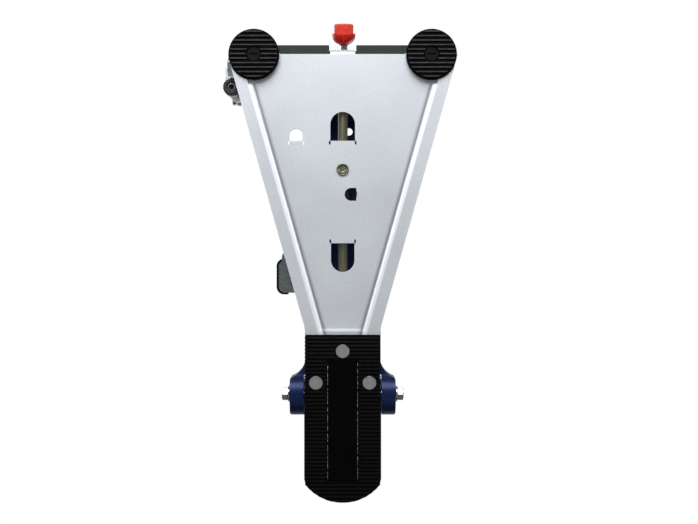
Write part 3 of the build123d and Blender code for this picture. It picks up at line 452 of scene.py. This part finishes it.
def black_plastic():
    """Black moulded nylon with a light spark texture."""
    f = Finish("black_plastic", (0.010, 0.010, 0.011), 0.4, 0.0)
    f.to("Base Color", f.blend(f.edges(), (0.010, 0.010, 0.011), (0.04, 0.04, 0.042)))
    f.to("Roughness", f.span(f.noise(400, 5), 0.3, 0.7, 0.32, 0.52))
    f.bump(f.noise(1300, 2), 0.25, 0.00006)
    return f.material


def bearing_steel():
    """Ground bearing rings with circular lay and oiled shields."""
    f = Finish("bearing_steel", (0.50, 0.51, 0.52), 0.28, 1.0)
    lay = f.noise(1400, 4, 0.6, f.stretched(0.05, 1, 1))
    f.to("Base Color", f.blend(lay, (0.36, 0.37, 0.38), (0.60, 0.61, 0.62)))
    f.to("Roughness", f.span(lay, 0.3, 0.7, 0.2, 0.4))
    f.bump(lay, 0.06, 0.00003)
    return f.material


FINISHES = {
    "plate_steel": silver_paint, "sole_rubber": black_rubber, "strip_fabric": hook_tape,
    "rivet_steel": satin_rivet, "black_steel": black_oxide, "brass": bare_brass,
    "bright_steel": bright_chrome,
    "bar_casting": dark_bar_paint, "post_casting": cast_silver, "bearing_steel": bearing_steel,
    "blue_casting": blue_coat, "black_plastic": black_plastic, "rod_steel": zinc_rod,
    "lever_steel": lever_plate, "red_shell": red_shell, "red_felt": red_felt,
}
MADE = {}


def finish_for(slot):
    """The material of a slot, made once."""
    if slot not in MADE:
        MADE[slot] = FINISHES[slot]()
    return MADE[slot]


# ---------------------------------------------------------------- modelling helpers
def only(obj):
    """Select one object and make it active."""
    bpy.ops.object.select_all(action="DESELECT")
    obj.select_set(True)
    bpy.context.view_layer.objects.active = obj
    return obj


def body_of(node):
    """The body that a node belongs to."""
    return next(body for body, nodes in BODIES.items() if node in nodes)


def place(obj, name, node, replaced=()):
    """Bake the object's place into its mesh, name it, finish it and let it ride for its node."""
    only(obj)
    bpy.ops.object.transform_apply(location=True, rotation=True, scale=True)
    obj.name = name
    obj.data.name = name
    obj.data.materials.clear()
    obj.data.materials.append(finish_for(SLOTS[node]))
    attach(obj, body_of(node))
    if replaced:
        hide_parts(*replaced)
    return obj


def apply_all(obj):
    """Apply every modifier in order."""
    only(obj)
    for modifier in list(obj.modifiers):
        bpy.ops.object.modifier_apply(modifier=modifier.name)


def rounded(obj, radius, angle=32.0, segments=2):
    """Round the sharp edges and shade the rest smooth."""
    only(obj)
    bevel = obj.modifiers.new("edge", "BEVEL")
    bevel.width = radius
    bevel.segments = segments
    bevel.limit_method = "ANGLE"
    bevel.angle_limit = math.radians(angle)
    bevel.harden_normals = False
    bevel.use_clamp_overlap = True
    bpy.ops.object.modifier_apply(modifier=bevel.name)
    bpy.ops.object.shade_smooth_by_angle(angle=math.radians(SMOOTH_ANGLE))
    weigh = obj.modifiers.new("weigh", "WEIGHTED_NORMAL")
    weigh.keep_sharp = True
    weigh.weight = 100
    bpy.ops.object.modifier_apply(modifier=weigh.name)
    return obj


def dressed(node, radius, angle=32.0):
    """A closed copy of a frame node with rounded edges, standing for that node."""
    source = frame["nodes"][node]
    copy = source.copy()
    copy.data = source.data.copy()
    copy.parent = None
    for key in list(copy.keys()):
        del copy[key]
    bpy.context.scene.collection.objects.link(copy)
    only(copy)
    bpy.ops.mesh.customdata_custom_splitnormals_clear()
    bpy.ops.object.mode_set(mode="EDIT")
    bpy.ops.mesh.select_all(action="SELECT")
    bpy.ops.mesh.remove_doubles(threshold=0.000002)
    bpy.ops.mesh.dissolve_limited(angle_limit=math.radians(0.6))
    bpy.ops.object.mode_set(mode="OBJECT")
    rounded(copy, radius, angle)
    return place(copy, f"{node}_finished", node, (node,))


def turned(stations, segments=48, hollow=False):
    """Shape turned about Z from (height, radius) stations in millimetres, closed at both ends.

    A hollow one is a ring: its stations go round its section and come back to the first.
    """
    bpy.ops.object.select_all(action="DESELECT")
    height, radius = stations[0]
    bpy.ops.mesh.primitive_circle_add(vertices=segments, radius=radius * MM, location=(0, 0, height * MM),
                                      fill_type="NOTHING" if hollow else "NGON")
    obj = bpy.context.object
    bpy.ops.object.transform_apply(location=True, rotation=False, scale=False)
    bpy.ops.object.mode_set(mode="EDIT")
    bpy.ops.mesh.select_all(action="SELECT")
    for (height, radius), (next_height, next_radius) in zip(stations, stations[1:]):
        step = (0, 0, (next_height - height) * MM)
        bpy.ops.mesh.extrude_region_move(TRANSFORM_OT_translate={"value": step})
        grow = next_radius / radius
        bpy.ops.transform.resize(value=(grow, grow, 1), center_override=(0, 0, next_height * MM))
    bpy.ops.mesh.select_all(action="SELECT")
    bpy.ops.mesh.remove_doubles(threshold=0.000001)
    bpy.ops.mesh.normals_make_consistent(inside=False)
    bpy.ops.object.mode_set(mode="OBJECT")
    return obj


def arc(centre, radius, start, end, steps):
    """Stations along a round corner, angles in degrees from outward towards the top."""
    stations = []
    for step in range(steps + 1):
        angle = math.radians(start + (end - start) * step / steps)
        stations.append((centre[0] + radius * math.sin(angle), centre[1] + radius * math.cos(angle)))
    return stations


def stand(obj, origin, way):
    """Turn a piece made along Z to point along a direction from a place."""
    obj.location = origin
    obj.rotation_euler = Vector(way).to_track_quat("Z", "Y").to_euler()
    return obj


def smooth(obj, angle=SMOOTH_ANGLE):
    """Shade smooth across edges flatter than an angle in degrees."""
    only(obj)
    bpy.ops.object.shade_smooth_by_angle(angle=math.radians(angle))
    return obj


def pushed(obj, pick, factor):
    """Scale the vertices that a test picks towards the Z axis."""
    only(obj)
    bpy.ops.object.mode_set(mode="EDIT")
    bpy.ops.mesh.select_all(action="DESELECT")
    bpy.ops.object.mode_set(mode="OBJECT")
    for index, vertex in enumerate(obj.data.vertices):
        vertex.select = pick(index, vertex.co)
    bpy.ops.object.mode_set(mode="EDIT")
    bpy.ops.transform.resize(value=(factor, factor, 1), center_override=(0, 0, 0))
    bpy.ops.object.mode_set(mode="OBJECT")
    return obj


def wire(points, radius, sides=5):
    """Round wire along a smooth line through a list of places."""
    bpy.ops.object.select_all(action="DESELECT")
    bpy.ops.curve.primitive_nurbs_path_add(location=(0, 0, 0))
    obj = bpy.context.object
    line = obj.data
    line.splines.clear()
    spline = line.splines.new("NURBS")
    spline.points.add(len(points) - 1)
    for point, place_at in zip(spline.points, points):
        point.co = (*place_at, 1)
    spline.order_u = 4
    spline.use_endpoint_u = True
    spline.resolution_u = 3
    line.dimensions = "3D"
    line.bevel_depth = radius
    line.bevel_resolution = sides
    line.use_fill_caps = True
    only(obj)
    bpy.ops.object.convert(target="MESH")
    obj = bpy.context.object
    return smooth(obj, 60)


# ---------------------------------------------------------------- operators
class PedalOperator:
    """What the pedal's operators share."""

    bl_options = {"REGISTER", "UNDO"}


class PEDAL_OT_sheet_metal(PedalOperator, bpy.types.Operator):
    """Base plate and spring bracket: pressed steel with rounded edges"""

    bl_idname = "pedal.sheet_metal"
    bl_label = "Sheet metal"

    def execute(self, context):
        for node in ("base_plate", "spring_bracket"):
            dressed(node, sizes().sheet_round, angle=40)
        return {"FINISHED"}


class PEDAL_OT_castings(PedalOperator, bpy.types.Operator):
    """Castings: cross bar, posts, footboard, heel, hub, clevis, rocker, link and jaw"""

    bl_idname = "pedal.castings"
    bl_label = "Castings"

    def execute(self, context):
        for node in ("hoop_cross_bar", "post_right", "post_left", "footboard", "heel_block", "drive_hub",
                     "toe_clevis", "spring_rocker", "drive_link", "clamp_jaw"):
            dressed(node, sizes().cast_round)
        return {"FINISHED"}


class PEDAL_OT_rubber(PedalOperator, bpy.types.Operator):
    """Rubber pieces: heel sole, hoop pad, jaw pad and lever edging"""

    bl_idname = "pedal.rubber"
    bl_label = "Rubber"

    def execute(self, context):
        for node in ("heel_sole", "hoop_pad", "jaw_pad", "lever_edge"):
            dressed(node, sizes().rubber_round)
        return {"FINISHED"}


class PEDAL_OT_feet(PedalOperator, bpy.types.Operator):
    """Front feet: round rubber pads with ridges across and a screw recess"""

    bl_idname = "pedal.feet"
    bl_label = "Feet"

    def execute(self, context):
        for node in ("front_foot_right", "front_foot_left"):
            self.foot(node)
        return {"FINISHED"}

    def foot(self, node):
        """One foot: turned pad, cut along the ridges' edges, ridges drawn down to the floor."""
        low, high = (Vector(corner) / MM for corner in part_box(node))
        rim = (high.x - low.x) / 2
        tall = high.z
        face = 1.3
        recess = 6
        recess_top = 5
        soft = 1.2
        ridge = sizes().ridge / MM
        pitch = sizes().ridge_pitch / MM
        stations = [(recess_top, recess), (face + 0.3, recess), (face, 6.3), (face, rim - soft)]
        stations += arc((face + soft, rim - soft), soft, -60, 0, 4)
        stations += [(tall - 0.4, rim), (tall, rim - 0.4)]
        obj = turned(stations, 96)
        cuts = [pitch * index + side * ridge / 2 for index in range(-6, 7) for side in (-1, 1)]
        for cut in (cut for cut in cuts if abs(cut) < rim - soft):
            self.pick(obj, lambda polygon: abs(polygon.center.z - face * MM) < 0.01 * MM)
            bpy.ops.mesh.bisect(plane_co=(0, cut * MM, 0), plane_no=(0, 1, 0))
        self.pick(obj, lambda polygon: (abs(polygon.center.z - face * MM) < 0.01 * MM
                                        and self.from_ridge(polygon.center.y / MM, pitch) < ridge / 2))
        bpy.ops.mesh.extrude_region_move(TRANSFORM_OT_translate={"value": (0, 0, -face * MM)})
        bpy.ops.mesh.select_mode(type="VERT")
        bpy.ops.mesh.select_all(action="SELECT")
        bpy.ops.mesh.normals_make_consistent(inside=False)
        bpy.ops.object.mode_set(mode="OBJECT")
        rounded(obj, 0.14 * MM, 40, 2)
        obj.location = ((low.x + high.x) / 2 * MM, (low.y + high.y) / 2 * MM, 0)
        place(obj, f"{node}_ridged", node, (node,))

    def from_ridge(self, place_at, pitch):
        """Distance to the middle of the nearest ridge."""
        return abs(place_at / pitch - round(place_at / pitch)) * pitch

    def pick(self, obj, test):
        """Select the faces that a test picks, and leave the piece in edit mode."""
        if obj.mode == "OBJECT":
            only(obj)
            bpy.ops.object.mode_set(mode="EDIT")
        bpy.ops.mesh.select_mode(type="FACE")
        bpy.ops.mesh.select_all(action="DESELECT")
        bpy.ops.object.mode_set(mode="OBJECT")
        for polygon in obj.data.polygons:
            polygon.select = test(polygon)
        bpy.ops.object.mode_set(mode="EDIT")


class PEDAL_OT_beater(PedalOperator, bpy.types.Operator):
    """Beater: bent shaft, hard cup and felt plug"""

    bl_idname = "pedal.beater"
    bl_label = "Beater"

    def execute(self, context):
        self.shaft()
        corner = AXLE + SHAFT_WAY * sizes().beater_leg
        back = corner + HEAD_WAY * sizes().beater_reach
        self.cup(back)
        self.felt(back)
        return {"FINISHED"}

    def shaft(self):
        """One round bar: chamfered foot, straight leg, bend, short stem."""
        radius = sizes().shaft_round / MM
        foot = 14.0
        bend = sizes().bend_round
        leg = sizes().beater_leg / MM - bend / MM
        stations = [(foot, radius - 0.6), (foot + 0.6, radius)]
        stations += [(foot + 0.6 + (leg - foot - 0.6) * step / 8, radius) for step in range(1, 9)]
        obj = stand(turned(stations, 32), AXLE, SHAFT_WAY)
        only(obj)
        bpy.ops.object.transform_apply(location=True, rotation=True, scale=True)
        top = AXLE + SHAFT_WAY * leg * MM
        bpy.ops.object.mode_set(mode="EDIT")
        bpy.ops.mesh.select_all(action="DESELECT")
        bpy.ops.object.mode_set(mode="OBJECT")
        for face in obj.data.polygons:
            face.select = (face.center - top).length < 0.1 * MM
        bpy.ops.object.mode_set(mode="EDIT")
        bpy.ops.mesh.spin(steps=14, angle=math.pi / 2, center=top + HEAD_WAY * bend, axis=(1, 0, 0))
        stem = HEAD_WAY * (sizes().beater_reach - bend + 2 * MM)
        bpy.ops.mesh.extrude_region_move(TRANSFORM_OT_translate={"value": stem})
        bpy.ops.mesh.select_all(action="SELECT")
        bpy.ops.mesh.remove_doubles(threshold=0.000001)
        bpy.ops.mesh.normals_make_consistent(inside=False)
        bpy.ops.object.mode_set(mode="OBJECT")
        place(smooth(obj), "beater_shaft_bent", "beater_shaft", ("beater_shaft",))

    def cup(self, back):
        """Glossy shell: flat back, round shoulder, straight rim with a soft lip."""
        stations = [(0, 3.4), (0, 4.0), (0.15, 4.6)]
        stations += arc((9.5, 2.7), 8.7, -76, 0, 14)
        stations += [(10.7, 11.4)] + arc((10.9, 10.9), 0.5, 15, 90, 4) + arc((10.9, 10.3), 0.5, 95, 170, 4)
        stations += [(8.5, 9.75), (6.5, 9.75)]
        obj = stand(turned(stations, 96), back, HEAD_WAY)
        place(smooth(obj, 50), "beater_cup_shell", "beater_cup", ("beater_cup",))

    def felt(self, back):
        """Felt plug with soft rim and lumpy, fibrous sides."""
        stations = [(6.6, 9.35)] + [(6.6 + step * 0.55, 9.4) for step in range(1, 23)]
        stations += arc((19.3, 8.1), 1.3, 0, 90, 5)
        stations += [(20.6, 7.0 - step) for step in range(7)]
        obj = turned(stations, 120)
        lumps = bpy.data.textures.new("felt_lumps", "CLOUDS")
        lumps.noise_scale = 1.5 * MM
        lumps.noise_depth = 2
        push = obj.modifiers.new("lumps", "DISPLACE")
        push.texture = lumps
        push.texture_coords = "LOCAL"
        push.strength = sizes().felt_fuzz
        push.mid_level = 0.6
        apply_all(obj)
        place(smooth(stand(obj, back, HEAD_WAY), 70), "beater_felt_plug", "beater_felt", ("beater_felt",))


class PEDAL_OT_return_spring(PedalOperator, bpy.types.Operator):
    """Return spring: one wire with a close coil and a hook at each end"""

    bl_idname = "pedal.return_spring"
    bl_label = "Return spring"

    def execute(self, context):
        low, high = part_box("return_spring")
        middle = (Vector(low) + Vector(high)) / 2
        wire_round = sizes().spring_wire
        coil = sizes().spring_round
        turns = 14
        per_turn = 12
        bottom = low[2] + 7.7 * MM
        top = high[2] - 7.5 * MM
        hook_low = low[2] + wire_round
        hook_high = high[2] - wire_round
        points = self.hook(middle, coil, hook_low, bottom)
        for step in range(turns * per_turn + 1):
            angle = 2 * math.pi * step / per_turn
            rise = bottom + (top - bottom) * step / (turns * per_turn)
            points.append((middle.x + coil * math.cos(angle), middle.y + coil * math.sin(angle), rise))
        points += reversed(self.hook(middle, coil, hook_high, top))
        obj = wire(points, wire_round, 3)
        place(obj, "return_spring_wire", "return_spring", ("return_spring",))
        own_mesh(obj)
        return {"FINISHED"}

    def hook(self, middle, coil, far, near):
        """Places along a hook that reaches over a pin and comes back to the coil's side."""
        way = 1 if near > far else -1
        drop = 3.0 * MM * way
        soft = 2.2 * MM * way
        return [(middle.x - coil, middle.y, far + drop), (middle.x - coil, middle.y, far + soft * 0.4),
                (middle.x - coil * 0.7, middle.y, far), (middle.x, middle.y, far),
                (middle.x + coil * 0.7, middle.y, far), (middle.x + coil, middle.y, far + soft * 0.4),
                (middle.x + coil, middle.y, far + soft), (middle.x + coil, middle.y, near - way * 1.0 * MM)]


class PEDAL_OT_spring_adjuster(PedalOperator, bpy.types.Operator):
    """Spring adjuster: fluted knob, lock nut and the bolt's hex socket"""

    bl_idname = "pedal.spring_adjuster"
    bl_label = "Spring adjuster"

    def execute(self, context):
        low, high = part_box("spring_knob")
        tall = (high[2] - low[2]) / MM
        base = Vector((KNOB_AT.x, KNOB_AT.y, low[2]))
        self.knob(base, tall)
        low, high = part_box("knob_nut")
        self.nut(Vector((KNOB_AT.x, KNOB_AT.y, low[2])), (high[2] - low[2]) / MM)
        low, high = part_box("spring_eye_bolt")
        self.socket(Vector((KNOB_AT.x, KNOB_AT.y, low[2])))
        return {"FINISHED"}

    def knob(self, base, tall):
        """Black knob: fluted rim, dished underside, round bore."""
        rim = 7.15
        stations = [(0.9, 3.1), (0.25, 3.5), (0.0, 4.0), (0.0, 5.9), (0.25, 6.6), (0.8, 7.0), (1.3, rim)]
        stations += [(1.3 + (tall - 2.4) * step / 3, rim) for step in (1, 2, 3)]
        stations += [(tall - 0.4, 6.9), (tall, 6.3), (tall, 3.1), (0.9, 3.1)]
        obj = turned(stations, 108, hollow=True)
        pushed(obj, self.in_flute, 0.93)
        place(smooth(stand(obj, base, (0, 0, 1)), 40), "spring_knob_fluted", "spring_knob", ("spring_knob",))

    def in_flute(self, index, co):
        """Whether a vertex of the rim lies in one of its eighteen flutes."""
        return math.hypot(co.x, co.y) > 6.95 * MM and math.cos(18 * math.atan2(co.y, co.x)) > 0.4

    def nut(self, base, tall):
        """Hexagon nut with chamfered corners."""
        bore = 3.1
        face = 4.9
        corner = 5.75
        slope = 0.5
        stations = [(0, bore), (0, face), (slope, corner), (tall - slope, corner)]
        stations += [(tall, face), (tall, bore), (0, bore)]
        obj = turned(stations, 6, hollow=True)
        rounded(obj, 0.15 * MM, 20, 2)
        place(stand(obj, base, (0, 0, 1)), "knob_nut_hex", "knob_nut", ("knob_nut",))

    def socket(self, base):
        """Black hexagon seen in the end of the bolt."""
        obj = turned([(-0.25, 2.2), (-0.25, 2.35), (-0.1, 2.5), (1.5, 2.5)], 6)
        rounded(obj, 0.08 * MM, 20, 1)
        obj.rotation_euler = (0, 0, math.radians(12))
        obj.location = base
        place(obj, "bolt_socket", "spring_eye_bolt")
        obj.data.materials[0] = finish_for("black_steel")


class PEDAL_OT_heel_nuts(PedalOperator, bpy.types.Operator):
    """Dome nuts on the heel axle, set against its washers"""

    bl_idname = "pedal.heel_nuts"
    bl_label = "Heel nuts"

    def execute(self, context):
        low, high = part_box("heel_nuts")
        washer_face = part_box("heel_washers")[1][0]
        centre = (Vector(low) + Vector(high)) / 2
        reach = (high[0] - washer_face) / MM
        for side, name in ((1, "right"), (-1, "left")):
            origin = Vector((side * washer_face, centre.y, centre.z))
            self.nut(origin, side, reach, name)
        return {"FINISHED"}

    def nut(self, origin, side, reach, name):
        """Hexagon body, turned neck and a dome."""
        body = 5.0
        hexagon = turned([(0, 4.9), (0.4, 5.7), (body - 0.6, 5.7), (body, 4.9)], 6)
        rounded(hexagon, 0.2 * MM, 20, 2)
        dome_r = reach - body
        stations = [(body - 0.8, 4.5), (body, 4.5), (body, dome_r)]
        stations += arc((body, 0.02), dome_r, 2, 88, 12)
        dome = turned(stations, 48)
        smooth(dome, 40)
        only(dome)
        hexagon.select_set(True)
        bpy.context.view_layer.objects.active = hexagon
        bpy.ops.object.join()
        stand(hexagon, origin, (side, 0, 0))
        place(hexagon, f"heel_nut_{name}", "heel_nuts", ("heel_nuts",))


class PEDAL_OT_turned_steel(PedalOperator, bpy.types.Operator):
    """Shafts, pins, bearings, screws, rivets, clamp steel and the heel's hook tape"""

    bl_idname = "pedal.turned_steel"
    bl_label = "Turned steel"

    def execute(self, context):
        for node in ("foot_screws", "post_screws", "bearing_right", "bearing_left", "bracket_bolt",
                     "spring_eye_bolt", "heel_axle", "heel_washers", "heel_bushes",
                     "clamp_jaw_pin", "clevis_screws", "toe_pin", "axle_shaft", "axle_collar",
                     "hub_screws", "arm_pin", "link_bushes", "rocker_screw", "spring_swivel",
                     "clamp_rod", "lever_arm", "rod_cam", "rod_collar", "sole_rivets", "panel_rivet",
                     "grip_strip"):
            dressed(node, sizes().steel_round)
        return {"FINISHED"}


# ---------------------------------------------------------------- stage
def soft_light(name, place_at, aim, size, power, tone=(1, 1, 1)):
    """Square area light that faces a point."""
    bpy.ops.object.light_add(type="AREA", location=place_at)
    light = bpy.context.object
    light.name = name
    light.data.name = name
    light.data.shape = "SQUARE"
    light.data.size = size
    light.data.energy = power
    light.data.color = tone
    direction = Vector(aim) - Vector(place_at)
    light.rotation_euler = direction.to_track_quat("-Z", "Y").to_euler()
    return light


class PEDAL_OT_stage(PedalOperator, bpy.types.Operator):
    """Pale floor, soft studio light and the camera under the pedal"""

    bl_idname = "pedal.stage"
    bl_label = "Stage"

    def execute(self, context):
        self.floor()
        self.world()
        self.lights()
        self.camera()
        return {"FINISHED"}

    def floor(self):
        """A floor that shows from above only, so that the underside can be seen through it."""
        bpy.ops.object.select_all(action="DESELECT")
        bpy.ops.mesh.primitive_plane_add(size=FLOOR_SIZE, location=(0, 0.1, -0.0003))
        floor = bpy.context.object
        floor.name = "studio_floor"
        material = bpy.data.materials.new("pale_floor")
        material.use_nodes = True
        nodes = material.node_tree.nodes
        links = material.node_tree.links
        shader = nodes["Principled BSDF"]
        shader.inputs["Base Color"].default_value = (0.82, 0.82, 0.83, 1)
        shader.inputs["Roughness"].default_value = 0.6
        clear = nodes.new("ShaderNodeBsdfTransparent")
        mix = nodes.new("ShaderNodeMixShader")
        geometry = nodes.new("ShaderNodeNewGeometry")
        links.new(geometry.outputs["Backfacing"], mix.inputs[0])
        links.new(shader.outputs[0], mix.inputs[1])
        links.new(clear.outputs[0], mix.inputs[2])
        links.new(mix.outputs[0], nodes["Material Output"].inputs["Surface"])
        floor.data.materials.append(material)
        floor.visible_shadow = False
        floor.visible_glossy = False
        floor.visible_diffuse = False
        floor.visible_transmission = False

    def world(self):
        """White to the eye, softer as a light."""
        world = bpy.data.worlds.new("studio")
        bpy.context.scene.world = world
        world.use_nodes = True
        nodes = world.node_tree.nodes
        links = world.node_tree.links
        glow = nodes["Background"]
        glow.inputs["Color"].default_value = (1, 1, 1, 1)
        way = nodes.new("ShaderNodeTexCoord")
        split = nodes.new("ShaderNodeSeparateXYZ")
        links.new(way.outputs["Generated"], split.inputs[0])
        total = nodes.new("ShaderNodeMath")
        total.operation = "ADD"
        from_below = (-0.15, -0.6, 0.05, 0.26)
        from_above = (0.1, 0.6, 0.0, 0.5)
        for socket, limits in enumerate((from_below, from_above)):
            band = nodes.new("ShaderNodeMapRange")
            for name, number in zip(SPAN_SOCKETS, limits):
                band.inputs[name].default_value = number
            links.new(split.outputs["Z"], band.inputs["Value"])
            links.new(band.outputs["Result"], total.inputs[socket])
        links.new(total.outputs[0], glow.inputs["Strength"])
        seen = nodes.new("ShaderNodeBackground")
        seen.inputs["Color"].default_value = (1, 1, 1, 1)
        seen.inputs["Strength"].default_value = 1.0
        path = nodes.new("ShaderNodeLightPath")
        mix = nodes.new("ShaderNodeMixShader")
        links.new(path.outputs["Is Camera Ray"], mix.inputs[0])
        links.new(glow.outputs[0], mix.inputs[1])
        links.new(seen.outputs[0], mix.inputs[2])
        links.new(mix.outputs[0], nodes["World Output"].inputs["Surface"])

    def lights(self):
        middle = (0, 0.12, 0.02)
        soft_light("under_front", (0.05, 0.72, -0.55), (0, 0.2, 0), 0.55, 6.4)
        soft_light("under_heel", (-0.5, -0.55, -1.0), middle, 0.8, 0.7)
        for side in (-1, 1):
            soft_light(f"low_side_{side}", (side * 0.8, 0.42, -0.15), (0, 0.2, 0.005), 0.25, 1.5)
        soft_light("over_left", (-0.9, -0.5, 1.3), middle, 1.0, 9)
        soft_light("over_right", (1.2, 0.5, 1.1), middle, 0.8, 5)

    def camera(self):
        """A metre below the pedal, looking straight up, with the drum side at the top."""
        bpy.ops.object.camera_add(location=CAMERA_AT, rotation=(0, math.pi, 0))
        camera = bpy.context.object
        camera.name = "view_camera"
        camera.data.sensor_width = 36
        camera.data.lens = CAMERA_LENS
        camera.data.clip_start = 0.01
        bpy.context.scene.camera = camera
        bpy.context.scene.view_settings.view_transform = "Standard"


OPERATORS = (PEDAL_OT_sheet_metal, PEDAL_OT_castings, PEDAL_OT_rubber, PEDAL_OT_feet, PEDAL_OT_beater,
             PEDAL_OT_return_spring, PEDAL_OT_spring_adjuster, PEDAL_OT_heel_nuts,
             PEDAL_OT_turned_steel, PEDAL_OT_stage)


class PEDAL_PT_build(bpy.types.Panel):
    """Lists the operators that build the pedal"""

    bl_label = "Bass drum pedal"
    bl_idname = "PEDAL_PT_build"
    bl_space_type = "VIEW_3D"
    bl_region_type = "UI"
    bl_category = "Pedal"

    def draw(self, context):
        for operator in OPERATORS:
            self.layout.operator(operator.bl_idname)


CLASSES = (PedalSizes, PedalColours, *OPERATORS, PEDAL_PT_build)


def register():
    for cls in CLASSES:
        bpy.utils.register_class(cls)
    bpy.types.Scene.pedal_sizes = bpy.props.PointerProperty(type=PedalSizes)
    bpy.types.Scene.pedal_colours = bpy.props.PointerProperty(type=PedalColours)


def unregister():
    del bpy.types.Scene.pedal_sizes
    del bpy.types.Scene.pedal_colours
    for cls in reversed(CLASSES):
        bpy.utils.unregister_class(cls)


def main():
    """Build every piece in order."""
    register()
    for operator in OPERATORS:
        family, _, call = operator.bl_idname.partition(".")
        getattr(getattr(bpy.ops, family), call)()


if __name__ == "__main__":
    main()
